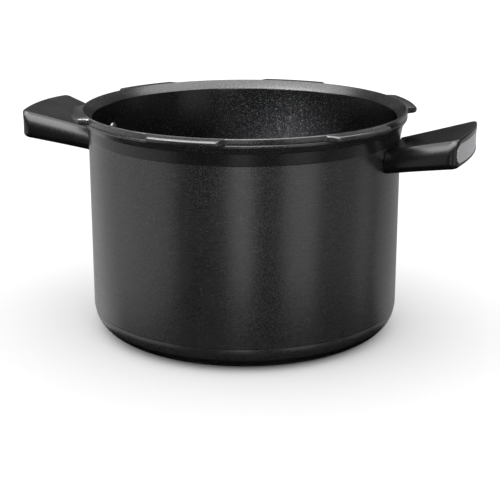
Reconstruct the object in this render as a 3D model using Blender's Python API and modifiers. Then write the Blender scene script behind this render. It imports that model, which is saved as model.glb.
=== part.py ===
"""Pot of a stovetop pressure cooker: coated aluminium body, bayonet lugs and two fixed side grips.

Everything is in metres with +Z up. The pot stands on the XY plane, its axis is the Z axis and the
grips point along +X and -X. The grips don't move, so nothing here is jointed.
"""
import math

import bmesh
import bpy

# ---- Pot body -----------------------------------------------------------------------------------
POT_HEIGHT = 0.167
INNER_RADIUS = 0.1124
WALL = 0.0032
FLOOR_THICKNESS = 0.0057
INNER_CORNER_RADIUS = 0.015
BASE_STEP = 0.0004

# ---- Rim ring and lid seat ----------------------------------------------------------------------
RING_PROUD = 0.0046
NECK_PROUD = 0.0017
UPPER_TIER_HEIGHT = 0.0042
LOWER_TIER_HEIGHT = 0.0022
RING_SHOULDER_HEIGHT = 0.0042
RING_SHOULDER_ROUND = 0.0020
TIER_GROOVE = 0.0004
NECK_HEIGHT = 0.0087
RIM_LAND = 0.0004
RIM_ROUND = 0.0008
SEAT_DEPTH = 0.0060

# ---- Bayonet lugs -------------------------------------------------------------------------------
LUG_COUNT = 6
LUG_REACH = 0.0075
LUG_THICKNESS = 0.0048
LUG_TOP_DROP = 0.0002
LUG_HALF_ANGLE = math.radians(10.9)
LUG_RAMP_ANGLE = math.radians(3.3)
LUG_FIRST_ANGLE = math.radians(30.0)
LUG_EDGE_ROUND = 0.0018
LUG_EMBED = 0.0007

# ---- Induction plate ----------------------------------------------------------------------------
FOOT_LAND = 0.009
PLATE_THICKNESS = 0.0012
PLATE_PROUD = 0.0003

# ---- Grips --------------------------------------------------------------------------------------
GRIP_REACH = 0.0548
GRIP_ROOT_HALF_WIDTH = 0.027
GRIP_END_HALF_WIDTH = 0.0387
GRIP_CORNER_RADIUS = 0.008
GRIP_TOP_ROUND = 0.0034
GRIP_BOTTOM_ROUND = 0.0022
GRIP_WALL_ABOVE_BRACKET = 0.0017
GRIP_WALL_BELOW_BRACKET = 0.0028
GRIP_TOP_ANGLE = math.radians(14.7)
GRIP_BOTTOM_ANGLE = math.radians(11.0)
GRIP_BELOW_NECK = 0.0009

# ---- Brackets, rivets and grip fasteners --------------------------------------------------------
BRACKET_THICKNESS = 0.0025
BRACKET_HALF_WIDTH = 0.016
TONGUE_TIP_TO_GRIP_END = 0.0185
TONGUE_WIDTH = 0.024
TONGUE_CORNER_RADIUS = 0.004
TONGUE_ANGLE = math.radians(18.0)
RIVET_HEAD_ABOVE_TONGUE = 0.0019
RIVET_HEAD_TO_BRACKET_TOP = 0.0006
RIVET_SPACING = 0.016
RIVET_SHANK_RADIUS = 0.0025
RIVET_DOME_RADIUS = 0.0052
RIVET_DOME_HEIGHT = 0.0022
RIVET_UPSET_RADIUS = 0.0038
RIVET_UPSET_HEIGHT = 0.0014
SCREW_RADIUS = 0.0025
SCREW_TO_TONGUE_TIP = 0.0086
SCREW_HEAD_RADIUS = 0.0044
SCREW_HEAD_HEIGHT = 0.0019
SCREW_SOCKET_RADIUS = 0.0017
SCREW_SOCKET_DEPTH = 0.0013
SCREW_TIP = 0.0012
SEAT_WALL = 0.0018
WASHER_THICKNESS = 0.0010
WASHER_RADIUS = 0.0042
NUT_SIDE = 0.008
NUT_THICKNESS = 0.0027

# ---- End caps -----------------------------------------------------------------------------------
CAP_THICKNESS = 0.0010
CAP_SIDE_BORDER = 0.0010
CAP_TOP_BORDER = 0.0036
CAP_BOTTOM_BORDER = 0.0024
CAP_CORNER_RADIUS = 0.005
CAP_TAB_WIDTH = 0.006
CAP_TAB_HEIGHT = 0.0012
CAP_TAB_LENGTH = 0.005
CAP_TAB_SPACING = 0.036

# ---- Clearances ---------------------------------------------------------------------------------
CONTACT_GAP = 0.0003
HOLE_CLEARANCE = 0.0003
GRIP_WALL_GAP = 0.0005
TURN_STEPS = 96
FINE_STEPS = 32
OVERSHOOT = 0.002

# ---- Values that follow from the sizes above ----------------------------------------------------
BODY_RADIUS = INNER_RADIUS + WALL
RING_RADIUS = BODY_RADIUS + RING_PROUD
CORNER_RADIUS = INNER_CORNER_RADIUS + WALL
NECK_RADIUS = BODY_RADIUS + NECK_PROUD
TIER_BOTTOM = POT_HEIGHT - UPPER_TIER_HEIGHT - LOWER_TIER_HEIGHT
RING_BOTTOM = TIER_BOTTOM - RING_SHOULDER_HEIGHT
NECK_BOTTOM = RING_BOTTOM - NECK_HEIGHT
LUG_RADIUS = RING_RADIUS + LUG_REACH
LUG_TOP = POT_HEIGHT - LUG_TOP_DROP
PLATE_RADIUS = BODY_RADIUS - CORNER_RADIUS - FOOT_LAND
RIVET_ABOVE_BRACKET_BOTTOM = BRACKET_THICKNESS + RIVET_HEAD_ABOVE_TONGUE + RIVET_UPSET_RADIUS
BRACKET_HEIGHT = RIVET_ABOVE_BRACKET_BOTTOM + RIVET_UPSET_RADIUS + RIVET_HEAD_TO_BRACKET_TOP
GRIP_ROOT_THICKNESS = GRIP_WALL_BELOW_BRACKET + BRACKET_HEIGHT + GRIP_WALL_ABOVE_BRACKET
GRIP_END_RADIUS = BODY_RADIUS + GRIP_REACH
GRIP_ROOT_TOP = NECK_BOTTOM - GRIP_BELOW_NECK
GRIP_ROOT_BOTTOM = GRIP_ROOT_TOP - GRIP_ROOT_THICKNESS
BRACKET_INNER_RADIUS = BODY_RADIUS + CONTACT_GAP
BRACKET_OUTER_RADIUS = BRACKET_INNER_RADIUS + BRACKET_THICKNESS
BRACKET_BOTTOM = GRIP_ROOT_BOTTOM + GRIP_WALL_BELOW_BRACKET
BRACKET_TOP = BRACKET_BOTTOM + BRACKET_HEIGHT
RIVET_HEIGHT = BRACKET_BOTTOM + RIVET_ABOVE_BRACKET_BOTTOM
RIVET_ANGLE = math.asin(0.5 * RIVET_SPACING / BODY_RADIUS)
TONGUE_ROOT_RADIUS = BRACKET_INNER_RADIUS + 0.5 * BRACKET_THICKNESS
TONGUE_ROOT_HEIGHT = BRACKET_BOTTOM + 0.5 * BRACKET_THICKNESS
TONGUE_TIP_RADIUS = GRIP_END_RADIUS - TONGUE_TIP_TO_GRIP_END
TONGUE_LENGTH = (TONGUE_TIP_RADIUS - TONGUE_ROOT_RADIUS) / math.cos(TONGUE_ANGLE)
SCREW_ALONG_TONGUE = TONGUE_LENGTH - SCREW_TO_TONGUE_TIP
TONGUE_UNDERSIDE = -0.5 * BRACKET_THICKNESS
SLOT_FLOOR = TONGUE_UNDERSIDE - CONTACT_GAP
SCREW_SEAT = SLOT_FLOOR - SEAT_WALL
SIDES = {"right": 0.0, "left": math.pi}


def grip_top(radius):
    """Height of a grip's top face at a distance from the pot's axis."""
    return GRIP_ROOT_TOP + math.tan(GRIP_TOP_ANGLE) * (radius - BODY_RADIUS)


def grip_bottom(radius):
    """Height of a grip's bottom face at a distance from the pot's axis."""
    return GRIP_ROOT_BOTTOM + math.tan(GRIP_BOTTOM_ANGLE) * (radius - BODY_RADIUS)


def arc(centre, radius, start, end, steps):
    """Points along an arc, from one angle to another, both ends included."""
    points = []
    for step in range(steps + 1):
        angle = start + (end - start) * step / steps
        points.append((centre[0] + radius * math.cos(angle), centre[1] + radius * math.sin(angle)))
    return points


def rounded_rectangle(low, high, radius, steps=5):
    """Outline of a rectangle with round corners, from its low and high corners."""
    quarter = math.pi / 2
    corners = [(high[0], high[1]), (low[0], high[1]), (low[0], low[1]), (high[0], low[1])]
    outline = []
    for turn, corner in enumerate(corners):
        inward = (1 if corner[0] == low[0] else -1, 1 if corner[1] == low[1] else -1)
        centre = (corner[0] + inward[0] * radius, corner[1] + inward[1] * radius)
        outline += arc(centre, radius, turn * quarter, (turn + 1) * quarter, steps)
    return outline


def clear_scene():
    """Remove whatever objects the scene starts with."""
    for item in list(bpy.data.objects):
        bpy.data.objects.remove(item, do_unlink=True)


def make_collection(name):
    """Add a named collection to the scene."""
    collection = bpy.data.collections.new(name)
    bpy.context.scene.collection.children.link(collection)
    return collection


def make_material(name, colour, roughness, metallic):
    """Plain Principled material for one kind of part."""
    material = bpy.data.materials.new(name)
    material.use_nodes = True
    shader = material.node_tree.nodes["Principled BSDF"]
    shader.inputs["Base Color"].default_value = (*colour, 1.0)
    shader.inputs["Roughness"].default_value = roughness
    shader.inputs["Metallic"].default_value = metallic
    material.diffuse_color = (*colour, 1.0)
    return material


def adopt(item, name, collection, material=None, parent=None):
    """Name an object, give it its material and put it in one collection under its parent."""
    item.name = name
    item.data.name = name
    for owner in list(item.users_collection):
        owner.objects.unlink(item)
    collection.objects.link(item)
    item.parent = parent
    if material is not None:
        item.data.materials.clear()
        item.data.materials.append(material)
    return item


def turned(name, profile, collection, material=None, parent=None, steps=TURN_STEPS):
    """Solid of revolution about Z; the profile starts and ends on the axis or closes on itself."""
    mesh = bpy.data.meshes.new(name)
    shape = bmesh.new()
    points = [shape.verts.new((radius, 0.0, height)) for radius, height in profile]
    for first, second in zip(points, points[1:]):
        shape.edges.new((first, second))
    if profile[0][0] > 0.0:
        shape.edges.new((points[-1], points[0]))
    shape.to_mesh(mesh)
    shape.free()
    item = bpy.data.objects.new(name, mesh)
    screw = item.modifiers.new("turn", "SCREW")
    screw.axis = "Z"
    screw.angle = 2 * math.pi
    screw.steps = steps
    screw.render_steps = steps
    screw.use_merge_vertices = True
    screw.merge_threshold = 0.00001
    return adopt(item, name, collection, material, parent)


def plate(name, outlines, thickness, collection, material=None, parent=None):
    """Flat plates of one thickness, centred on Z = 0, from filled 2D outlines."""
    curve = bpy.data.curves.new(name, "CURVE")
    curve.dimensions = "2D"
    curve.fill_mode = "BOTH"
    curve.extrude = 0.5 * thickness
    for outline in outlines:
        spline = curve.splines.new("POLY")
        spline.points.add(len(outline) - 1)
        spline.use_cyclic_u = True
        for point, (x, y) in zip(spline.points, outline):
            point.co = (x, y, 0.0, 1.0)
    source = bpy.data.objects.new(name, curve)
    collection.objects.link(source)
    mesh = bpy.data.meshes.new_from_object(source)
    bpy.data.objects.remove(source, do_unlink=True)
    shape = bmesh.new()
    shape.from_mesh(mesh)
    bmesh.ops.remove_doubles(shape, verts=shape.verts, dist=0.000001)
    bmesh.ops.dissolve_limit(shape, angle_limit=0.001, verts=shape.verts, edges=shape.edges)
    bmesh.ops.recalc_face_normals(shape, faces=shape.faces)
    shape.to_mesh(mesh)
    shape.free()
    return adopt(bpy.data.objects.new(name, mesh), name, collection, material, parent)


def block(name, low, high, collection, material=None, parent=None):
    """Box primitive between two corners."""
    middle = [0.5 * (a + b) for a, b in zip(low, high)]
    bpy.ops.mesh.primitive_cube_add(size=1.0, location=middle)
    item = bpy.context.object
    item.scale = [b - a for a, b in zip(low, high)]
    return adopt(item, name, collection, material, parent)


def rod(name, radius, bottom, top, collection, material=None, parent=None, sides=FINE_STEPS):
    """Cylinder primitive along its parent's Z axis, from one height to another."""
    bpy.ops.mesh.primitive_cylinder_add(
        vertices=sides, radius=radius, depth=top - bottom, location=(0.0, 0.0, 0.5 * (top + bottom)))
    return adopt(bpy.context.object, name, collection, material, parent)


def marker(name, collection, location=(0.0, 0.0, 0.0), rotation=(0.0, 0.0, 0.0), parent=None):
    """Empty that carries a frame for the pieces placed in it."""
    item = bpy.data.objects.new(name, None)
    collection.objects.link(item)
    item.location = location
    item.rotation_euler = rotation
    item.parent = parent
    return item


def combine(item, other, operation):
    """Boolean modifier that cuts, joins or intersects an object with a helper object."""
    boolean = item.modifiers.new(f"{operation.lower()}_{other.name}", "BOOLEAN")
    boolean.operation = operation
    boolean.solver = "EXACT"
    boolean.object = other


def soften(item, width, segments=3, angle=math.radians(35.0)):
    """Round the edges that are sharper than an angle."""
    bevel = item.modifiers.new("soften", "BEVEL")
    bevel.width = width
    bevel.segments = segments
    bevel.limit_method = "ANGLE"
    bevel.angle_limit = angle


def ring_shoulder():
    """Round shoulder from the ring's lower tier in to the neck: a convex arc, a slope, a hollow arc."""
    slope = math.atan2(RING_RADIUS - NECK_RADIUS, RING_SHOULDER_HEIGHT)
    taper = math.atan2(NECK_PROUD, NECK_HEIGHT)
    cling = RING_SHOULDER_ROUND * math.tan(0.5 * slope)
    upper = arc((RING_RADIUS - RING_SHOULDER_ROUND, TIER_BOTTOM + cling), RING_SHOULDER_ROUND, 0.0, -slope, 3)
    settle = RING_SHOULDER_ROUND * math.tan(0.5 * (slope - taper))
    touch = (NECK_RADIUS + settle * math.sin(slope), RING_BOTTOM + settle * math.cos(slope))
    reach = (RING_SHOULDER_ROUND * math.cos(slope), -RING_SHOULDER_ROUND * math.sin(slope))
    centre = (touch[0] + reach[0], touch[1] + reach[1])
    lower = arc(centre, RING_SHOULDER_ROUND, math.pi - slope, math.pi - taper, 2)
    return upper + lower


def pot_profile():
    """Section of the pot: floor, inner wall, seat, rim, ring, neck, outer wall and base."""
    underside = PLATE_PROUD
    inner_floor = underside + FLOOR_THICKNESS
    recess_radius = PLATE_RADIUS + CONTACT_GAP
    recess_top = PLATE_THICKNESS + CONTACT_GAP
    inner_centre = (INNER_RADIUS - INNER_CORNER_RADIUS, inner_floor + INNER_CORNER_RADIUS)
    foot_radius = CORNER_RADIUS - BASE_STEP
    outer_centre = (BODY_RADIUS - CORNER_RADIUS, underside + foot_radius)
    groove = POT_HEIGHT - UPPER_TIER_HEIGHT
    rim_outer = RING_RADIUS - RIM_ROUND
    seat_top = rim_outer - RIM_LAND
    foot = arc(outer_centre, foot_radius, 0.0, -math.pi / 2, 7)
    return (
        [(0.0, inner_floor)]
        + arc(inner_centre, INNER_CORNER_RADIUS, -math.pi / 2, 0.0, 7)
        + [(INNER_RADIUS, POT_HEIGHT - SEAT_DEPTH), (seat_top, POT_HEIGHT)]
        + arc((rim_outer, POT_HEIGHT - RIM_ROUND), RIM_ROUND, math.pi / 2, 0.0, 3)
        + [(RING_RADIUS, groove), (RING_RADIUS - TIER_GROOVE, groove - 0.5 * TIER_GROOVE)]
        + [(RING_RADIUS, groove - TIER_GROOVE)]
        + ring_shoulder()
        + [(BODY_RADIUS, NECK_BOTTOM), (BODY_RADIUS, foot[0][1] + BASE_STEP)]
        + foot
        + [(recess_radius, underside), (recess_radius, recess_top), (0.0, recess_top)]
    )


def lug_outline(middle):
    """Plan of one bayonet lug with ramped ends, its root buried in the ring."""
    foot_angle = LUG_HALF_ANGLE + LUG_RAMP_ANGLE
    root = RING_RADIUS - LUG_EMBED
    crest = arc((0.0, 0.0), LUG_RADIUS, middle - LUG_HALF_ANGLE, middle + LUG_HALF_ANGLE, 6)
    back = arc((0.0, 0.0), root, middle + foot_angle, middle - foot_angle, 8)
    return crest + back


def rivet_frames(side, axis, collection):
    """Frames on the wall at the two rivets of one bracket, with Z pointing outwards."""
    frames = {}
    for place, angle in (("front", -RIVET_ANGLE), ("rear", RIVET_ANGLE)):
        spot = (math.cos(angle) * INNER_RADIUS, math.sin(angle) * INNER_RADIUS, RIVET_HEIGHT)
        turn = (0.0, math.pi / 2, angle)
        frames[place] = marker(f"{side}_rivet_{place}_frame", collection, spot, turn, axis)
    return frames


def make_pot_body(parts, helpers, material, rivet_holes):
    """One-piece aluminium pot with its ring, six lugs and the rivet holes."""
    body = turned("pot_body", pot_profile(), parts, material)
    middles = [LUG_FIRST_ANGLE + 2 * math.pi * step / LUG_COUNT for step in range(LUG_COUNT)]
    lugs = plate("lug_blanks", [lug_outline(middle) for middle in middles], LUG_THICKNESS, helpers)
    lugs.location.z = LUG_TOP - 0.5 * LUG_THICKNESS
    soften(lugs, LUG_EDGE_ROUND, segments=2)
    combine(body, lugs, "UNION")
    for hole in rivet_holes:
        combine(body, hole, "DIFFERENCE")
    return body


def make_induction_plate(parts, material):
    """Ferritic steel disc set in the underside, the face that the pot stands on."""
    profile = [(0.0, PLATE_THICKNESS), (PLATE_RADIUS, PLATE_THICKNESS), (PLATE_RADIUS, 0.0), (0.0, 0.0)]
    return turned("induction_plate", profile, parts, material)


def make_rivets(side, parts, helpers, material, frames):
    """Two rivets: domed head inside the pot, shank, and upset head on the bracket."""
    head_top = -CONTACT_GAP - RIVET_DOME_RADIUS**2 / (2 * INNER_RADIUS)
    upset = WALL + BRACKET_THICKNESS + 2 * CONTACT_GAP
    sphere = (RIVET_DOME_RADIUS**2 + RIVET_DOME_HEIGHT**2) / (2 * RIVET_DOME_HEIGHT)
    spread = math.asin(RIVET_DOME_RADIUS / sphere)
    dome_centre = (0.0, head_top - RIVET_DOME_HEIGHT + sphere)
    profile = [(0.0, upset + RIVET_UPSET_HEIGHT), (0.7 * RIVET_UPSET_RADIUS, upset + RIVET_UPSET_HEIGHT)]
    profile += [(RIVET_UPSET_RADIUS, upset + 0.5 * RIVET_UPSET_HEIGHT), (RIVET_UPSET_RADIUS, upset)]
    profile += [(RIVET_SHANK_RADIUS, upset), (RIVET_SHANK_RADIUS, head_top)]
    profile += arc(dome_centre, sphere, spread - math.pi / 2, -math.pi / 2, 5)[:-1]
    profile += [(0.0, head_top - RIVET_DOME_HEIGHT)]
    holes = []
    for place, frame in frames.items():
        turned(f"{side}_rivet_{place}", profile, parts, material, frame, steps=24)
        bottom = -RIVET_DOME_HEIGHT - OVERSHOOT
        hole = rod(f"{side}_rivet_{place}_hole", RIVET_SHANK_RADIUS + HOLE_CLEARANCE,
                   bottom, upset + OVERSHOOT, helpers, parent=frame, sides=24)
        holes.append(hole)
    return holes


def make_bracket(side, parts, helpers, material, axis, tongue_frame, rivet_holes):
    """Pressed steel bracket: a curved plate on the wall and a tongue that enters the grip."""
    half = math.asin(BRACKET_HALF_WIDTH / BRACKET_INNER_RADIUS)
    outline = arc((0.0, 0.0), BRACKET_OUTER_RADIUS, -half, half, 10)
    outline += arc((0.0, 0.0), BRACKET_INNER_RADIUS, half, -half, 10)
    bracket = plate(f"{side}_bracket", [outline], BRACKET_HEIGHT, parts, material, axis)
    bracket.location.z = BRACKET_BOTTOM + 0.5 * BRACKET_HEIGHT
    start = 0.25 * BRACKET_THICKNESS
    tongue_outline = [(start, -0.5 * TONGUE_WIDTH)]
    corner = (TONGUE_LENGTH - TONGUE_CORNER_RADIUS, 0.5 * TONGUE_WIDTH - TONGUE_CORNER_RADIUS)
    tongue_outline += arc((corner[0], -corner[1]), TONGUE_CORNER_RADIUS, -math.pi / 2, 0.0, 4)
    tongue_outline += arc(corner, TONGUE_CORNER_RADIUS, 0.0, math.pi / 2, 4)
    tongue_outline += [(start, 0.5 * TONGUE_WIDTH)]
    tongue = plate(f"{side}_tongue", [tongue_outline], BRACKET_THICKNESS, helpers, parent=tongue_frame)
    combine(bracket, tongue, "UNION")
    for hole in rivet_holes:
        combine(bracket, hole, "DIFFERENCE")
    return bracket


def make_fasteners(side, parts, helpers, steel, spring_steel, frame):
    """Grip screw, spring washer and square nut; returns the screw hole that they share."""
    hole_radius = SCREW_RADIUS + HOLE_CLEARANCE
    nut_bottom = 0.5 * BRACKET_THICKNESS + CONTACT_GAP
    nut_top = nut_bottom + NUT_THICKNESS
    washer_top = SCREW_SEAT - CONTACT_GAP
    head_top = washer_top - WASHER_THICKNESS - CONTACT_GAP
    head_bottom = head_top - SCREW_HEAD_HEIGHT
    hole = rod(f"{side}_screw_hole", hole_radius, head_bottom - OVERSHOOT, nut_top + OVERSHOOT,
               helpers, parent=frame)
    profile = [(0.0, nut_top + SCREW_TIP), (SCREW_RADIUS, nut_top + SCREW_TIP), (SCREW_RADIUS, head_top)]
    profile += [(SCREW_HEAD_RADIUS, head_top), (SCREW_HEAD_RADIUS, head_bottom + 0.4 * SCREW_HEAD_HEIGHT)]
    profile += [(0.8 * SCREW_HEAD_RADIUS, head_bottom), (0.0, head_bottom)]
    screw = turned(f"{side}_grip_screw", profile, parts, steel, frame, steps=24)
    socket = rod(f"{side}_screw_socket", SCREW_SOCKET_RADIUS, head_bottom - OVERSHOOT,
                 head_bottom + SCREW_SOCKET_DEPTH, helpers, parent=frame, sides=6)
    combine(screw, socket, "DIFFERENCE")
    ring = [(WASHER_RADIUS, washer_top), (WASHER_RADIUS, washer_top - WASHER_THICKNESS)]
    ring += [(hole_radius, washer_top - WASHER_THICKNESS), (hole_radius, washer_top)]
    washer = turned(f"{side}_spring_washer", ring, parts, spring_steel, frame, steps=24)
    slit = block(f"{side}_washer_slit", (0.0, -0.0004, washer_top - 2 * WASHER_THICKNESS),
                 (WASHER_RADIUS + OVERSHOOT, 0.0004, washer_top + OVERSHOOT), helpers, parent=frame)
    slit.rotation_euler.x = math.radians(20.0)
    combine(washer, slit, "DIFFERENCE")
    nut = block(f"{side}_grip_nut", (-0.5 * NUT_SIDE, -0.5 * NUT_SIDE, nut_bottom),
                (0.5 * NUT_SIDE, 0.5 * NUT_SIDE, nut_top), parts, steel, frame)
    combine(nut, hole, "DIFFERENCE")
    return hole


def grip_lean():
    """Place where a grip's side meets the wall, and the angle at which the side spreads."""
    wall_x = math.sqrt(BODY_RADIUS**2 - GRIP_ROOT_HALF_WIDTH**2)
    corner_x = math.sqrt(GRIP_END_RADIUS**2 - GRIP_END_HALF_WIDTH**2)
    return wall_x, math.atan2(GRIP_END_HALF_WIDTH - GRIP_ROOT_HALF_WIDTH, corner_x - wall_x)


def grip_end_path(inset):
    """Line around a grip's end, both corners included, moved inwards by a distance."""
    corner_y = GRIP_END_HALF_WIDTH - GRIP_CORNER_RADIUS
    corner_x = math.sqrt((GRIP_END_RADIUS - GRIP_CORNER_RADIUS) ** 2 - corner_y**2)
    meet = math.atan2(corner_y, corner_x)
    side = math.pi / 2 + grip_lean()[1]
    radius = GRIP_CORNER_RADIUS - inset
    lower = arc((corner_x, -corner_y), radius, -side, -meet, 6)
    end = arc((0.0, 0.0), GRIP_END_RADIUS - inset, -meet, meet, 12)[1:-1]
    upper = arc((corner_x, corner_y), radius, meet, side, 6)
    return lower + end + upper


def grip_outline():
    """Plan of a grip: sides that spread outwards and an end that is concentric with the pot."""
    wall_x, lean = grip_lean()
    root_x = wall_x - 2 * OVERSHOOT
    root_y = GRIP_ROOT_HALF_WIDTH - 2 * OVERSHOOT * math.tan(lean)
    return [(root_x, -root_y)] + grip_end_path(0.0) + [(root_x, root_y)]


def make_grip(side, parts, helpers, material, axis, tongue_frame, screw_frame, screw_hole):
    """Moulded grip: tilted slab with round edges, hollowed for the bracket, nut, screw and cap."""
    low, high = BRACKET_BOTTOM - GRIP_ROOT_THICKNESS, POT_HEIGHT + GRIP_ROOT_THICKNESS
    grip = plate(f"{side}_grip", [grip_outline()], high - low, parts, material, axis)
    grip.location.z = 0.5 * (low + high)
    length = 2 * GRIP_END_RADIUS
    above = block(f"{side}_grip_top_cut", (-length, -length, 0.0), (length, length, length), helpers,
                  parent=marker(f"{side}_grip_top_frame", helpers, (BODY_RADIUS, 0.0, GRIP_ROOT_TOP),
                                (0.0, -GRIP_TOP_ANGLE, 0.0), axis))
    below = block(f"{side}_grip_bottom_cut", (-length, -length, -length), (length, length, 0.0), helpers,
                  parent=marker(f"{side}_grip_bottom_frame", helpers,
                                (BODY_RADIUS, 0.0, GRIP_ROOT_BOTTOM),
                                (0.0, -GRIP_BOTTOM_ANGLE, 0.0), axis))
    combine(grip, above, "DIFFERENCE")
    soften(grip, GRIP_TOP_ROUND, segments=4)
    combine(grip, below, "DIFFERENCE")
    soften(grip, GRIP_BOTTOM_ROUND, segments=4)
    wall = rod(f"{side}_grip_wall_cut", BODY_RADIUS + GRIP_WALL_GAP, 0.0, 2 * POT_HEIGHT, helpers,
               parent=axis, sides=2 * TURN_STEPS)
    rivet_reach = BRACKET_OUTER_RADIUS + CONTACT_GAP + RIVET_UPSET_HEIGHT + GRIP_WALL_GAP
    pocket_half = BRACKET_HALF_WIDTH + BRACKET_THICKNESS * BRACKET_HALF_WIDTH / BODY_RADIUS + GRIP_WALL_GAP
    pocket = block(f"{side}_grip_pocket",
                   (BODY_RADIUS - OVERSHOOT, -pocket_half, BRACKET_BOTTOM - CONTACT_GAP),
                   (rivet_reach, pocket_half, BRACKET_TOP + CONTACT_GAP), helpers, parent=axis)
    slot_half = 0.5 * TONGUE_WIDTH + CONTACT_GAP
    slot = block(f"{side}_grip_slot", (0.0, -slot_half, SLOT_FLOOR),
                 (TONGUE_LENGTH + CONTACT_GAP, slot_half, -SLOT_FLOOR), helpers, parent=tongue_frame)
    channel_half = 0.5 * NUT_SIDE + CONTACT_GAP
    channel_top = 0.5 * BRACKET_THICKNESS + NUT_THICKNESS + SCREW_TIP + 3 * CONTACT_GAP
    channel = block(f"{side}_nut_channel", (0.0, -channel_half, 0.0),
                    (SCREW_ALONG_TONGUE + channel_half, channel_half, channel_top), helpers,
                    parent=tongue_frame)
    bore = rod(f"{side}_screw_bore", SCREW_HEAD_RADIUS + HOLE_CLEARANCE, SCREW_SEAT - GRIP_ROOT_THICKNESS,
               SCREW_SEAT, helpers, parent=screw_frame)
    for cutter in (wall, pocket, slot, channel, bore, screw_hole):
        combine(grip, cutter, "DIFFERENCE")
    return grip


def cap_prism(name, grow, depth, helpers, axis):
    """Rounded prism along the grip's length that trims the end cap, or its recess when grown."""
    edge = math.sqrt(GRIP_END_RADIUS**2 - GRIP_END_HALF_WIDTH**2)
    half_width = GRIP_END_HALF_WIDTH - CAP_SIDE_BORDER + grow
    bottom = grip_bottom(GRIP_END_RADIUS) + CAP_BOTTOM_BORDER - grow
    top = grip_top(edge) - CAP_TOP_BORDER + grow
    outline = rounded_rectangle((-half_width, bottom), (half_width, top), CAP_CORNER_RADIUS + grow)
    prism = plate(name, [outline], depth, helpers, parent=axis)
    prism.location.x = edge
    prism.rotation_euler = (math.pi / 2, 0.0, math.pi / 2)
    return prism


def end_shell(name, outer_inset, inner_inset, helpers, axis):
    """Upright sheet around a grip's end and its corners, between two insets from the surface."""
    outline = grip_end_path(outer_inset) + grip_end_path(inner_inset)[::-1]
    shell = plate(name, [outline], POT_HEIGHT, helpers, parent=axis)
    shell.location.z = POT_HEIGHT
    return shell


def make_end_cap(side, parts, helpers, material, axis, grip):
    """Stainless cap around the grip's end and corners, with two tabs that push into the grip."""
    face_inset = CONTACT_GAP
    back_inset = face_inset + CAP_THICKNESS
    back = GRIP_END_RADIUS - back_inset
    depth = 4 * GRIP_CORNER_RADIUS
    sheet = end_shell(f"{side}_cap_sheet", face_inset, back_inset, helpers, axis)
    cap = cap_prism(f"{side}_end_cap", 0.0, depth, parts, axis)
    cap.data.materials.append(material)
    combine(cap, sheet, "INTERSECT")
    recess = cap_prism(f"{side}_cap_recess", CONTACT_GAP, depth, helpers, axis)
    recess_sheet = end_shell(f"{side}_cap_recess_sheet", -OVERSHOOT, back_inset + CONTACT_GAP,
                             helpers, axis)
    combine(recess, recess_sheet, "INTERSECT")
    combine(grip, recess, "DIFFERENCE")
    height = 0.5 * (grip_top(GRIP_END_RADIUS) + grip_bottom(GRIP_END_RADIUS))
    for name, centre in (("front", -0.5 * CAP_TAB_SPACING), ("rear", 0.5 * CAP_TAB_SPACING)):
        root = math.sqrt(back**2 - centre**2)
        half = (0.5 * CAP_TAB_WIDTH, 0.5 * CAP_TAB_HEIGHT)
        tab = block(f"{side}_cap_tab_{name}", (root - CAP_TAB_LENGTH, centre - half[0], height - half[1]),
                    (root + 0.5 * CAP_THICKNESS, centre + half[0], height + half[1]), helpers, parent=axis)
        combine(cap, tab, "UNION")
        gap = CONTACT_GAP
        slot = block(f"{side}_cap_slot_{name}",
                     (root - CAP_TAB_LENGTH - gap, centre - half[0] - gap, height - half[1] - gap),
                     (root + CAP_THICKNESS, centre + half[0] + gap, height + half[1] + gap),
                     helpers, parent=axis)
        combine(grip, slot, "DIFFERENCE")
    return cap


def build():
    """Model the whole pot and hide the helper objects."""
    clear_scene()
    parts = make_collection("pressure_cooker_pot")
    helpers = make_collection("cutters")
    coated = make_material("coated_aluminium", (0.045, 0.045, 0.048), 0.42, 0.35)
    ferritic = make_material("ferritic_steel", (0.42, 0.42, 0.43), 0.38, 1.0)
    zinc = make_material("bracket_steel", (0.50, 0.50, 0.52), 0.45, 1.0)
    bare = make_material("rivet_aluminium", (0.72, 0.72, 0.73), 0.35, 1.0)
    bakelite = make_material("black_bakelite", (0.022, 0.022, 0.024), 0.38, 0.0)
    stainless = make_material("cap_stainless", (0.62, 0.62, 0.64), 0.28, 1.0)
    screw_steel = make_material("screw_steel", (0.55, 0.55, 0.57), 0.35, 1.0)
    spring_steel = make_material("spring_steel", (0.30, 0.30, 0.32), 0.40, 1.0)
    holes = []
    for side, turn in SIDES.items():
        axis = marker(f"{side}_axis", parts, rotation=(0.0, 0.0, turn))
        frames = rivet_frames(side, axis, parts)
        side_holes = make_rivets(side, parts, helpers, bare, frames)
        tongue_frame = marker(f"{side}_tongue_frame", parts, (TONGUE_ROOT_RADIUS, 0.0, TONGUE_ROOT_HEIGHT),
                              (0.0, -TONGUE_ANGLE, 0.0), axis)
        screw_frame = marker(f"{side}_screw_frame", parts, (SCREW_ALONG_TONGUE, 0.0, 0.0),
                             parent=tongue_frame)
        bracket = make_bracket(side, parts, helpers, zinc, axis, tongue_frame, side_holes)
        screw_hole = make_fasteners(side, parts, helpers, screw_steel, spring_steel, screw_frame)
        combine(bracket, screw_hole, "DIFFERENCE")
        grip = make_grip(side, parts, helpers, bakelite, axis, tongue_frame, screw_frame, screw_hole)
        make_end_cap(side, parts, helpers, stainless, axis, grip)
        holes += side_holes
    make_pot_body(parts, helpers, coated, holes)
    make_induction_plate(parts, ferritic)
    for helper in helpers.objects:
        helper.hide_render = True
        helper.display_type = "WIRE"


build()
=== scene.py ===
"""Looks of a stovetop pressure cooker's pot: coated body, moulded grips, steel caps and studio.

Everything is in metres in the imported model's frame: +Z is up, the pot stands on Z = 0, its axis is
the Z axis and the two grips point along +X and -X. Nothing on this pot moves.
"""
from __future__ import annotations

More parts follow.
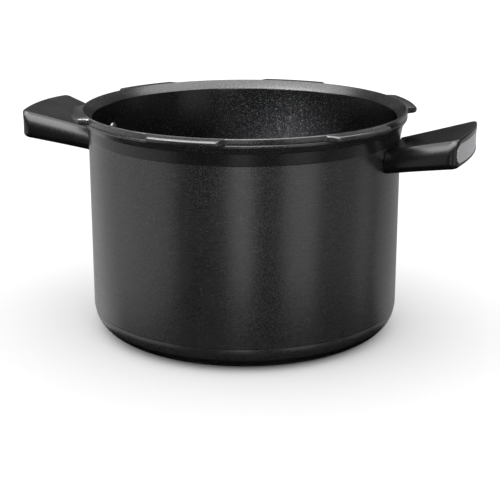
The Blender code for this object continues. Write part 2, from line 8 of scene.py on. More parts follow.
import logging
import math
from dataclasses import dataclass
from enum import Enum
from typing import Callable, Sequence, Union

import bmesh
import bpy
from mathutils import Matrix, Vector


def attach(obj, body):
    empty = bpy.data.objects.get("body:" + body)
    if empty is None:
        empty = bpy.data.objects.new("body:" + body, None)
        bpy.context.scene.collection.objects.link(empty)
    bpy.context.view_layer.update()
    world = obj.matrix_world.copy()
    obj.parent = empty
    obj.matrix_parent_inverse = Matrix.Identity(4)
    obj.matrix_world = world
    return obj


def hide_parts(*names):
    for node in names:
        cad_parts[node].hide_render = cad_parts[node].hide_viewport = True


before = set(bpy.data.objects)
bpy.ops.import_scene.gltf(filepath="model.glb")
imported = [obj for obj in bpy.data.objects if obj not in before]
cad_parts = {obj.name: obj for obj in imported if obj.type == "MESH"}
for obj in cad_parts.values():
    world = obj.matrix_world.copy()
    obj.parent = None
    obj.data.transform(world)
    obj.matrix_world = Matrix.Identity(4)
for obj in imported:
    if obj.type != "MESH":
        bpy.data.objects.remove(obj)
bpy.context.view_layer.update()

LOG = logging.getLogger("pressure_cooker_pot")
FULL_TURN = 2.0 * math.pi
QUARTER_TURN = 0.5 * math.pi
MERGE_DISTANCE = 0.000002
SHARP_ANGLE = math.radians(32.0)
MIX_FIRST_COLOUR, MIX_SECOND_COLOUR, MIX_COLOUR_RESULT = 6, 7, 2

Pair = tuple[float, float]
Point = tuple[float, float, float]
Colour = tuple[float, float, float]


class Slot(Enum):
    """The record's material slots."""

    COATED_ALUMINIUM = "coated_aluminium"
    FERRITIC_STEEL = "ferritic_steel"
    BRACKET_STEEL = "bracket_steel"
    RIVET_ALUMINIUM = "rivet_aluminium"
    BLACK_BAKELITE = "black_bakelite"
    CAP_STAINLESS = "cap_stainless"
    SCREW_STEEL = "screw_steel"
    SPRING_STEEL = "spring_steel"


class Side(Enum):
    """The two sides of the pot that carry a grip."""

    RIGHT = "right"
    LEFT = "left"

    @property
    def turn(self) -> Matrix:
        """Turn about the pot's axis that takes the +X side to this side."""
        angle = 0.0 if self is Side.RIGHT else math.pi
        return Matrix.Rotation(angle, 4, "Z")


class Cut(Enum):
    """Ways to combine one solid with another."""

    JOIN = "UNION"
    CARVE = "DIFFERENCE"
    KEEP_SHARED = "INTERSECT"


# ---- Shader maths -------------------------------------------------------------------------------
@dataclass(frozen=True)
class Value:
    """A number that varies over a surface, usable in Python expressions."""

    recipe: "Recipe"
    socket: bpy.types.NodeSocket

    def _math(self, operation: str, *operands: "Operand") -> "Value":
        """Add one Math node.

        Args:
            operation: The Math node's operation.
            operands: Its inputs in order, as values or plain numbers.

        Returns:
            The node's result.
        """
        inputs = dict(enumerate(operands))
        return self.recipe.value("ShaderNodeMath", {"operation": operation}, inputs)

    def __add__(self, other: "Operand") -> "Value":
        """self + other."""
        return self._math("ADD", self, other)

    def __radd__(self, other: float) -> "Value":
        """other + self."""
        return self._math("ADD", other, self)

    def __sub__(self, other: "Operand") -> "Value":
        """self - other."""
        return self._math("SUBTRACT", self, other)

    def __rsub__(self, other: float) -> "Value":
        """other - self."""
        return self._math("SUBTRACT", other, self)

    def __mul__(self, other: "Operand") -> "Value":
        """self * other."""
        return self._math("MULTIPLY", self, other)

    def __rmul__(self, other: float) -> "Value":
        """other * self."""
        return self._math("MULTIPLY", other, self)

    def __truediv__(self, other: "Operand") -> "Value":
        """self / other."""
        return self._math("DIVIDE", self, other)

    def __pow__(self, other: "Operand") -> "Value":
        """self ** other."""
        return self._math("POWER", self, other)

    def between(self, low: float, high: float) -> "Value":
        """Smooth step: 0 below low, 1 above high.

        Args:
            low: Value at which the step starts.
            high: Value at which the step ends.

        Returns:
            The step, from 0 to 1.
        """
        settings = {"interpolation_type": "SMOOTHSTEP"}
        inputs = {"Value": self, "From Min": low, "From Max": high}
        return self.recipe.value("ShaderNodeMapRange", settings, inputs)

    def swing(self, strength: float) -> "Value":
        """How far a noise swings from its middle of 0.5, times a strength."""
        return (self - 0.5) * strength


Operand = Union[Value, float]


class Recipe:
    """Node tree of one finish, written node by node."""

    def __init__(self, name: str) -> None:
        """Start an empty material.

        Args:
            name: Name of the material.
        """
        self.material = bpy.data.materials.new(name)
        self.material.use_nodes = True
        self.tree = self.material.node_tree
        self.tree.nodes.clear()

    def node(self, kind: str, settings: dict[str, object],
             inputs: dict[object, object]) -> bpy.types.Node:
        """Add a node.

        Args:
            kind: The node's type.
            settings: Its properties, set before anything else.
            inputs: A plain value, a Value or a socket for each input, by name or place.

        Returns:
            The new node.
        """
        added = self.tree.nodes.new(kind)
        for name, setting in settings.items():
            setattr(added, name, setting)
        for key, given in inputs.items():
            source = given.socket if isinstance(given, Value) else given
            if isinstance(source, bpy.types.NodeSocket):
                self.tree.links.new(source, added.inputs[key])
            else:
                added.inputs[key].default_value = source
        return added

    def value(self, kind: str, settings: dict[str, object], inputs: dict[object, object],
              output: object = 0) -> Value:
        """Add a node and take one of its outputs as a number.

        Args:
            kind: The node's type.
            settings: Its properties.
            inputs: What each input is given.
            output: Name or place of the output.

        Returns:
            The output, ready for expressions.
        """
        return Value(self, self.node(kind, settings, inputs).outputs[output])

    def place(self) -> bpy.types.NodeSocket:
        """Position on the piece, in metres."""
        return self.node("ShaderNodeTexCoord", {}, {}).outputs["Object"]

    def split(self, vector: bpy.types.NodeSocket) -> tuple[Value, Value, Value]:
        """The three numbers of a vector."""
        parts = self.node("ShaderNodeSeparateXYZ", {}, {0: vector}).outputs
        return Value(self, parts[0]), Value(self, parts[1]), Value(self, parts[2])

    def joined(self, x: Operand, y: Operand, z: Operand) -> bpy.types.NodeSocket:
        """A vector made of three numbers."""
        return self.node("ShaderNodeCombineXYZ", {}, {0: x, 1: y, 2: z}).outputs[0]

    def noise(self, vector: bpy.types.NodeSocket, scale: float, detail: float = 2.0,
              roughness: float = 0.5) -> Value:
        """Soft cloud-like noise around 0.5.

        Args:
            vector: Where the noise is read.
            scale: Features per metre of the vector.
            detail: Octaves of finer noise.
            roughness: Strength of the finer octaves.

        Returns:
            The noise.
        """
        inputs = {"Vector": vector, "Scale": scale, "Detail": detail, "Roughness": roughness}
        return self.value("ShaderNodeTexNoise", {"noise_dimensions": "3D"}, inputs, "Fac")

    def grains(self, vector: bpy.types.NodeSocket, scale: float) -> Value:
        """A random number for each small cell.

        Args:
            vector: Where the cells are read.
            scale: Cells per metre.

        Returns:
            The random number, from 0 to 1.
        """
        settings = {"voronoi_dimensions": "3D", "feature": "F1"}
        cells = self.node("ShaderNodeTexVoronoi", settings, {"Vector": vector, "Scale": scale})
        return self.split(cells.outputs["Color"])[0]

    def attribute(self, name: str) -> Value:
        """A number stored on the piece's own points."""
        return self.value("ShaderNodeAttribute", {"attribute_name": name}, {}, "Fac")

    def blend(self, factor: Operand, low: object, high: object) -> bpy.types.NodeSocket:
        """Mix two colours.

        Args:
            factor: 0 for the first colour, 1 for the second.
            low: First colour, as numbers or a socket.
            high: Second colour, as numbers or a socket.

        Returns:
            The mixed colour.
        """
        colours = [(*tone, 1.0) if isinstance(tone, tuple) else tone for tone in (low, high)]
        settings = {"data_type": "RGBA", "clamp_factor": True}
        inputs = {0: factor, MIX_FIRST_COLOUR: colours[0], MIX_SECOND_COLOUR: colours[1]}
        return self.node("ShaderNodeMix", settings, inputs).outputs[MIX_COLOUR_RESULT]

    def bump(self, height: Value, depth: float) -> bpy.types.NodeSocket:
        """Surface relief.

        Args:
            height: Height over the surface, about 0 to 1.
            depth: Real height of 1, in metres.

        Returns:
            The bumped normal.
        """
        inputs = {"Strength": 1.0, "Distance": depth, "Height": height}
        return self.node("ShaderNodeBump", {}, inputs).outputs[0]

    def surface(self, inputs: dict[object, object]) -> bpy.types.Material:
        """Finish with a Principled shader.

        Args:
            inputs: What each socket of the shader is given.

        Returns:
            The material.
        """
        shader = self.node("ShaderNodeBsdfPrincipled", {}, inputs)
        self.node("ShaderNodeOutputMaterial", {}, {"Surface": shader.outputs[0]})
        return self.material


# ---- Finishes -----------------------------------------------------------------------------------
@dataclass(frozen=True)
class CoatedAluminiumFinish:
    """Charcoal satin coating with a fine sparkle, over a body that was turned on a lathe.

    Strengths add to the roughness, heights are shares of the relief, and line_drift is how fast
    the turning lines change round the body, per metre.
    """

    name: str
    shade: Colour = (0.0050, 0.0050, 0.0055)
    flake: Colour = (0.13, 0.13, 0.135)
    # Colour of the marked rim edge and lug crests: partly rubbed coating, partly a painted
    # highlight.
    wear_and_sheen: Colour = (0.085, 0.085, 0.09)
    roughness: float = 0.27
    flake_roughness: float = 0.50
    flake_share: Pair = (0.52, 0.74)
    line_pitch: float = 0.0014
    line_drift: float = 9.0
    line_strength: float = 0.06
    line_height: float = 0.15
    sparkle_size: float = 0.00050
    sparkle_height: float = 0.8
    cloud_scale: float = 28.0
    cloud_strength: float = 0.08
    wear_and_sheen_patches: Pair = (0.30, 0.62)
    wear_polish: float = 0.06
    bump_depth: float = 0.000010
    gloss: float = 0.5

    def material(self) -> bpy.types.Material:
        """Build the material."""
        recipe = Recipe(self.name)
        place = recipe.place()
        x, y, z = recipe.split(place)
        radius = (x * x + y * y) ** 0.5
        around = recipe.joined(x * self.line_drift, y * self.line_drift,
                               (radius + z) / self.line_pitch)
        lines = recipe.noise(around, 1.0, detail=3.0, roughness=0.65)
        cloud = recipe.noise(place, self.cloud_scale, detail=3.0)
        grain = recipe.noise(place, 1.0 / self.sparkle_size, detail=2.0, roughness=0.7)
        flakes = grain.between(*self.flake_share)
        # Lighter colour where the mesh is marked: partly rubbed coating, partly a painted highlight.
        worn_and_lit = recipe.attribute("wear_and_sheen") * cloud.between(*self.wear_and_sheen_patches)
        shade = recipe.blend(worn_and_lit, self.shade, self.wear_and_sheen)
        tone = (self.roughness + lines.swing(self.line_strength) + cloud.swing(self.cloud_strength)
                - worn_and_lit * self.wear_polish)
        relief = grain * self.sparkle_height + lines * self.line_height
        return recipe.surface({
            "Base Color": recipe.blend(flakes, shade, self.flake),
            "Roughness": tone + flakes * (self.flake_roughness - self.roughness),
            "Metallic": flakes,
            "Specular IOR Level": self.gloss,
            "Normal": recipe.bump(relief, self.bump_depth),
        })


@dataclass(frozen=True)
class BakeliteFinish:
    """Black moulded bakelite: satin, faintly grained, and a little polished and painted lighter
    along its edges, partly as a highlight.
    """

    shade: Colour = (0.0022, 0.0022, 0.0027)
    light_shade: Colour = (0.0045, 0.0045, 0.0052)
    # Colour of the marked crease and recess-lip bevels: partly rubbed edges, partly a painted
    # highlight.
    edge: Colour = (0.016, 0.016, 0.018)
    roughness: float = 0.27
    grain_size: float = 0.0006
    grain_strength: float = 0.08
    cloud_scale: float = 45.0
    cloud_strength: float = 0.10
    cloud_height: float = 0.5
    scuff_scale: float = 320.0
    scuff_share: Pair = (0.60, 0.78)
    scuff_strength: float = 0.05
    wear_and_sheen_patches: Pair = (0.25, 0.70)
    wear_polish: float = 0.05
    bump_depth: float = 0.000014
    gloss: float = 0.30

    def material(self) -> bpy.types.Material:
        """Build the material."""
        recipe = Recipe(Slot.BLACK_BAKELITE.value)
        place = recipe.place()
        cloud = recipe.noise(place, self.cloud_scale, detail=4.0)
        grain = recipe.noise(place, 1.0 / self.grain_size, detail=3.0, roughness=0.6)
        marks = recipe.noise(place, self.scuff_scale, detail=5.0, roughness=0.75)
        scuffs = marks.between(*self.scuff_share)
        # Lighter colour on the marked bevels: partly rubbed edges, partly a painted highlight.
        worn_and_lit = recipe.attribute("wear_and_sheen") * cloud.between(*self.wear_and_sheen_patches)
        shade = recipe.blend(cloud, self.shade, self.light_shade)
        tone = self.roughness + cloud.swing(self.cloud_strength) + grain.swing(self.grain_strength)
        return recipe.surface({
            "Base Color": recipe.blend(worn_and_lit, shade, self.edge),
            "Roughness": tone + scuffs * self.scuff_strength - worn_and_lit * self.wear_polish,
            "Metallic": 0.0,
            "Specular IOR Level": self.gloss,
            "Normal": recipe.bump(grain + cloud * self.cloud_height, self.bump_depth),
        })


@dataclass(frozen=True)
class BrushedSteelFinish:
    """Bright steel with fine brush lines that run along one direction."""

    slot: Slot
    shade: Colour
    dark_shade: Colour
    roughness: float
    line_scale: Point = (60.0, 60.0, 5200.0)
    line_share: Pair = (0.34, 0.66)
    line_strength: float = 0.22
    cloud_scale: float = 120.0
    cloud_strength: float = 0.10
    bump_depth: float = 0.000006
    anisotropy: float = 0.4

    def material(self) -> bpy.types.Material:
        """Build the material."""
        recipe = Recipe(self.slot.value)
        place = recipe.place()
        stretched = [part * scale for part, scale in zip(recipe.split(place), self.line_scale)]
        lines = recipe.noise(recipe.joined(*stretched), 1.0, detail=4.0, roughness=0.7)
        cloud = recipe.noise(place, self.cloud_scale, detail=3.0)
        marks = lines.between(*self.line_share)
        return recipe.surface({
            "Base Color": recipe.blend(marks, self.dark_shade, self.shade),
            "Roughness": (self.roughness + lines.swing(self.line_strength)
                          + cloud.swing(self.cloud_strength)),
            "Metallic": 1.0,
            "Anisotropic": self.anisotropy,
            "Normal": recipe.bump(lines, self.bump_depth),
        })


@dataclass(frozen=True)
class TurnedMetalFinish:
    """Bare metal with the rings of a lathe tool, centred on a vertical axis.

    ring_drift is how fast the rings change round the axis, per metre.
    """

    slot: Slot
    shade: Colour
    dark_shade: Colour
    roughness: float
    ring_pitch: float = 0.0009
    ring_drift: float = 7.0
    ring_share: float = 0.7
    ring_strength: float = 0.25
    cloud_scale: float = 60.0
    cloud_share: float = 0.3
    cloud_strength: float = 0.15
    scratch_scale: Point = (90.0, 1400.0, 90.0)
    scratch_share: Pair = (0.62, 0.70)
    scratch_strength: float = 0.12
    scratch_height: float = 0.4
    bump_depth: float = 0.00001

    def material(self) -> bpy.types.Material:
        """Build the material."""
        recipe = Recipe(self.slot.value)
        place = recipe.place()
        x, y, z = recipe.split(place)
        radius = (x * x + y * y) ** 0.5
        around = recipe.joined(x * self.ring_drift, y * self.ring_drift, radius / self.ring_pitch)
        rings = recipe.noise(around, 1.0, detail=4.0, roughness=0.7)
        cloud = recipe.noise(place, self.cloud_scale, detail=4.0)
        stretched = [part * scale for part, scale in zip((x, y, z), self.scratch_scale)]
        marks = recipe.noise(recipe.joined(*stretched), 1.0, detail=3.0)
        scratches = marks.between(*self.scratch_share)
        tone = rings * self.ring_share + cloud * self.cloud_share
        return recipe.surface({
            "Base Color": recipe.blend(tone, self.dark_shade, self.shade),
            "Roughness": (self.roughness + rings.swing(self.ring_strength)
                          + cloud.swing(self.cloud_strength) + scratches * self.scratch_strength),
            "Metallic": 1.0,
            "Normal": recipe.bump(rings + scratches * self.scratch_height, self.bump_depth),
        })


@dataclass(frozen=True)
class PlatedSteelFinish:
    """Small metal hardware: plated, oiled or bare, mottled and rubbed where it was handled."""

    slot: Slot
    shade: Colour
    dark_shade: Colour
    roughness: float
    cloud_scale: float = 240.0
    cloud_share: float = 0.6
    cloud_strength: float = 0.25
    spangle_scale: float = 900.0
    spangle_share: float = 0.4
    spangle_strength: float = 0.08
    tone_range: Pair = (0.25, 0.75)
    fine_scale: float = 2600.0
    bump_depth: float = 0.000008

    def material(self) -> bpy.types.Material:
        """Build the material."""
        recipe = Recipe(self.slot.value)
        place = recipe.place()
        cloud = recipe.noise(place, self.cloud_scale, detail=5.0, roughness=0.6)
        spangle = recipe.grains(place, self.spangle_scale)
        fine = recipe.noise(place, self.fine_scale, detail=3.0)
        tone = (cloud * self.cloud_share + spangle * self.spangle_share).between(*self.tone_range)
        return recipe.surface({
            "Base Color": recipe.blend(tone, self.dark_shade, self.shade),
            "Roughness": (self.roughness + cloud.swing(self.cloud_strength)
                          + spangle.swing(self.spangle_strength)),
            "Metallic": 1.0,
            "Normal": recipe.bump(fine + cloud, self.bump_depth),
        })


@dataclass(frozen=True)
class Workshop:
    """All finishes: one material for each slot, and two more coats for the pot's body: the lining,
    and a darker copy of the coat that paints shade on the neck.
    """

    materials: dict[Slot, bpy.types.Material]
    lining: bpy.types.Material
    # Darker copy of the outer coat for the neck: painted shade.
    neck: bpy.types.Material

    @classmethod
    def stocked(cls) -> "Workshop":
        """Make every finish once."""
        finishes = {
            Slot.COATED_ALUMINIUM: CoatedAluminiumFinish(Slot.COATED_ALUMINIUM.value),
            Slot.BLACK_BAKELITE: BakeliteFinish(),
            Slot.CAP_STAINLESS: BrushedSteelFinish(
                Slot.CAP_STAINLESS, (0.64, 0.64, 0.66), (0.48, 0.48, 0.50), 0.26),
            Slot.FERRITIC_STEEL: TurnedMetalFinish(
                Slot.FERRITIC_STEEL, (0.46, 0.46, 0.47), (0.27, 0.27, 0.28), 0.34),
            Slot.RIVET_ALUMINIUM: PlatedSteelFinish(
                Slot.RIVET_ALUMINIUM, (0.30, 0.30, 0.31), (0.20, 0.20, 0.21), 0.30),
            Slot.BRACKET_STEEL: PlatedSteelFinish(
                Slot.BRACKET_STEEL, (0.52, 0.52, 0.54), (0.34, 0.34, 0.36), 0.42),
            Slot.SCREW_STEEL: PlatedSteelFinish(
                Slot.SCREW_STEEL, (0.56, 0.56, 0.58), (0.38, 0.38, 0.40), 0.34),
            Slot.SPRING_STEEL: PlatedSteelFinish(
                Slot.SPRING_STEEL, (0.30, 0.30, 0.32), (0.17, 0.17, 0.19), 0.38),
        }
        lining = CoatedAluminiumFinish(
            "coated_lining", shade=(0.0030, 0.0030, 0.0034), flake=(0.090, 0.090, 0.093),
            roughness=0.18, flake_roughness=0.34, flake_share=(0.57, 0.72), line_strength=0.02,
            sparkle_size=0.00060, bump_depth=0.00005, gloss=0.2)
        # Darker flakes and weaker gloss than the outer coat: painted shade on the downward-facing
        # neck.
        neck = CoatedAluminiumFinish(
            "coated_neck_painted_shade", shade=(0.0045, 0.0045, 0.0050), flake=(0.06, 0.06, 0.065),
            roughness=0.24, flake_roughness=0.34, line_strength=0.04, gloss=0.24)
        materials = {slot: finish.material() for slot, finish in finishes.items()}
        return cls(materials, lining.material(), neck.material())

    def dress(self, piece: bpy.types.Object, slot: Slot) -> None:
        """Give a piece the finish of one slot.

        Args:
            piece: The object, new or from the CAD.
            slot: Its material slot.
        """
        if not piece.material_slots:
            piece.data.materials.append(self.materials[slot])
        for holder in piece.material_slots:
            holder.material = self.materials[slot]


# ---- Shaping ------------------------------------------------------------------------------------
def arc(centre: Pair, radius: float, start: float, end: float, steps: int) -> list[Pair]:
    """Points along an arc, both ends included.

    Args:
        centre: Centre of the arc.
        radius: Its radius.
        start: First angle.
        end: Last angle.
        steps: Number of equal steps.

    Returns:
        The points in order.
    """
    angles = [start + (end - start) * step / steps for step in range(steps + 1)]
    return [(centre[0] + radius * math.cos(angle), centre[1] + radius * math.sin(angle))
            for angle in angles]


def rounded_rectangle(low: Pair, high: Pair, radius: float, steps: int) -> list[Pair]:
    """Outline of a rectangle with round corners.

    Args:
        low: Lowest corner.
        high: Highest corner.
        radius: Radius of the corners.
        steps: Steps in each corner.

    Returns:
        The outline, counter-clockwise.
    """
    centres = [(high[0] - radius, high[1] - radius), (low[0] + radius, high[1] - radius),
               (low[0] + radius, low[1] + radius), (high[0] - radius, low[1] + radius)]
    outline: list[Pair] = []
    for turn, centre in enumerate(centres):
        outline += arc(centre, radius, turn * QUARTER_TURN, (turn + 1) * QUARTER_TURN, steps)
    return outline


def placed(name: str, data: bpy.types.ID) -> bpy.types.Object:
    """Put a new object in the scene, at the origin.

    Args:
        name: The object's name.
        data: Its mesh, light or camera.

    Returns:
        The object.
    """
    made = bpy.data.objects.new(name, data)
    bpy.context.scene.collection.objects.link(made)
    return made


class Blank:
    """A solid that is being shaped with mesh operators."""

    def __init__(self) -> None:
        """Start with nothing."""
        self.shape = bmesh.new()

    def points(self, places: Sequence[Sequence[float]]) -> list[bmesh.types.BMVert]:
        """Add loose points."""
        return [self.shape.verts.new(place) for place in places]

    def chain(self, points: Sequence[bmesh.types.BMVert], closed: bool) -> list[bmesh.types.BMEdge]:
        """Join points in order.

        Args:
            points: The points.
            closed: Whether the last point joins the first.

        Returns:
            The edges.
        """
        ends = list(points[1:]) + ([points[0]] if closed else [])
        return [self.shape.edges.new(pair) for pair in zip(points, ends)]

    def tidy(self) -> "Blank":
        """Merge doubled points and turn every face outwards."""
        bmesh.ops.remove_doubles(self.shape, verts=self.shape.verts, dist=MERGE_DISTANCE)
        bmesh.ops.recalc_face_normals(self.shape, faces=self.shape.faces)
        return self

    def turned(self, profile: Sequence[Pair], steps: int) -> "Blank":
        """Turn a profile about the Z axis.

        Args:
            profile: Radius and height of each point; it starts and ends on the axis, or closes.
            steps: Steps in the full turn.

        Returns:
            This blank.
        """
        points = self.points([(radius, 0.0, height) for radius, height in profile])
        edges = self.chain(points, profile[0][0] > 0.0)
        bmesh.ops.spin(
            self.shape, geom=points + edges, cent=(0.0, 0.0, 0.0), axis=(0.0, 0.0, 1.0),
            dvec=(0.0, 0.0, 0.0), angle=FULL_TURN, steps=steps, use_merge=True)
        return self.tidy()

    def stacked(self, loops: Sequence[Sequence[Point]]) -> "Blank":
        """Solid through a stack of closed loops that have the same number of points.

        Args:
            loops: The loops, from one end to the other.

        Returns:
            This blank.
        """
        rings = [self.chain(self.points(loop), True) for loop in loops]
        for lower, upper in zip(rings, rings[1:]):
            bmesh.ops.bridge_loops(self.shape, edges=lower + upper)
        for ring in (rings[0], rings[-1]):
            bmesh.ops.edgeloop_fill(self.shape, edges=ring)
        return self.tidy()

    def box(self, low: Point, high: Point) -> "Blank":
        """Box between two corners."""
        middle = 0.5 * (Vector(low) + Vector(high))
        size = Vector(high) - Vector(low)
        matrix = Matrix.Translation(middle) @ Matrix.Diagonal((*size, 1.0))
        bmesh.ops.create_cube(self.shape, size=1.0, matrix=matrix)
        return self

    def rod(self, radius: float, bottom: float, top: float, sides: int) -> "Blank":
        """Round or many-sided rod along Z."""
        matrix = Matrix.Translation((0.0, 0.0, 0.5 * (bottom + top)))
        bmesh.ops.create_cone(
            self.shape, cap_ends=True, segments=sides, radius1=radius, radius2=radius,
            depth=top - bottom, matrix=matrix)
        return self

    def moved(self, matrix: Matrix) -> "Blank":
        """Move the whole blank."""
        bmesh.ops.transform(self.shape, matrix=matrix, verts=self.shape.verts)
        return self

    def rounded(self, chosen: Callable[[bmesh.types.BMEdge], bool], width: float,
                segments: int, mark: str = "") -> "Blank":
        """Bevel some edges.

        Args:
            chosen: Says whether an edge is bevelled.
            width: Width of the bevel.
            segments: Steps across it.
            mark: Name of a number to set to 1 on the new points, such as wear.

        Returns:
            This blank.
        """
        edges = [edge for edge in self.shape.edges if len(edge.link_faces) == 2 and chosen(edge)]
        result = bmesh.ops.bevel(
            self.shape, geom=edges, offset=width, offset_type="OFFSET", segments=segments,
            profile=0.5, affect="EDGES", material=-1, clamp_overlap=True, loop_slide=True)
        if mark:
            layers = self.shape.verts.layers.float
            layer = layers.get(mark) or layers.new(mark)
            for point in {vert for face in result["faces"] for vert in face.verts}:
                point[layer] = 1.0
        return self

    def piece(self, name: str) -> bpy.types.Object:
        """Turn the blank into an object at the origin.

        Args:
            name: The object's name.

        Returns:
            The object.
        """
        mesh = bpy.data.meshes.new(name)
        self.shape.to_mesh(mesh)
        self.shape.free()
        return placed(name, mesh)


def combined(piece: bpy.types.Object, others: Sequence[tuple[Blank, Cut]]) -> bpy.types.Object:
    """Join, carve or trim a piece with helper solids, which are used up.

    Args:
        piece: The object to change.
        others: Each helper solid, and what to do with it.

    Returns:
        The object, with its new mesh.
    """
    helpers = [blank.piece(f"helper_{place}") for place, (blank, _) in enumerate(others)]
    for helper, (_, cut) in zip(helpers, others):
        modifier = piece.modifiers.new(cut.name.lower(), "BOOLEAN")
        modifier.solver = "MANIFOLD"
        modifier.operation = cut.value
        modifier.object = helper
    graph = bpy.context.evaluated_depsgraph_get()
    mesh = bpy.data.meshes.new_from_object(piece.evaluated_get(graph))
    piece.modifiers.clear()
    piece.data = mesh
    for helper in helpers:
        bpy.data.objects.remove(helper, do_unlink=True)
    return piece


def reshaped(piece: bpy.types.Object, change: Callable[[Blank], object]) -> bpy.types.Object:
    """Edit a piece's mesh with operators after it was combined.

    Args:
        piece: The object.
        change: What to do to its blank.

    Returns:
        The object.
    """
    blank = Blank()
    blank.shape.from_mesh(piece.data)
    change(blank)
    blank.shape.to_mesh(piece.data)
    blank.shape.free()
    return piece


def hand_in(piece: bpy.types.Object, node: str, slot: Slot, workshop: Workshop,
            sharp: float = SHARP_ANGLE) -> bpy.types.Object:
    """Shade a finished piece, dress it and let it stand for its CAD node.

    Args:
        piece: The finished object.
        node: The CAD node that it replaces.
        slot: Its material slot.
        workshop: The finishes.
        sharp: Edges sharper than this stay crisp.

    Returns:
        The object.
    """
    piece.data.name = piece.name
    piece.data.materials.clear()
    piece.data.shade_smooth()
    piece.data.set_sharp_from_angle(angle=sharp)
    workshop.dress(piece, slot)
    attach(piece, "root")
    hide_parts(node)
    LOG.info("%s: %d faces, for %s", piece.name, len(piece.data.polygons), node)
    return piece


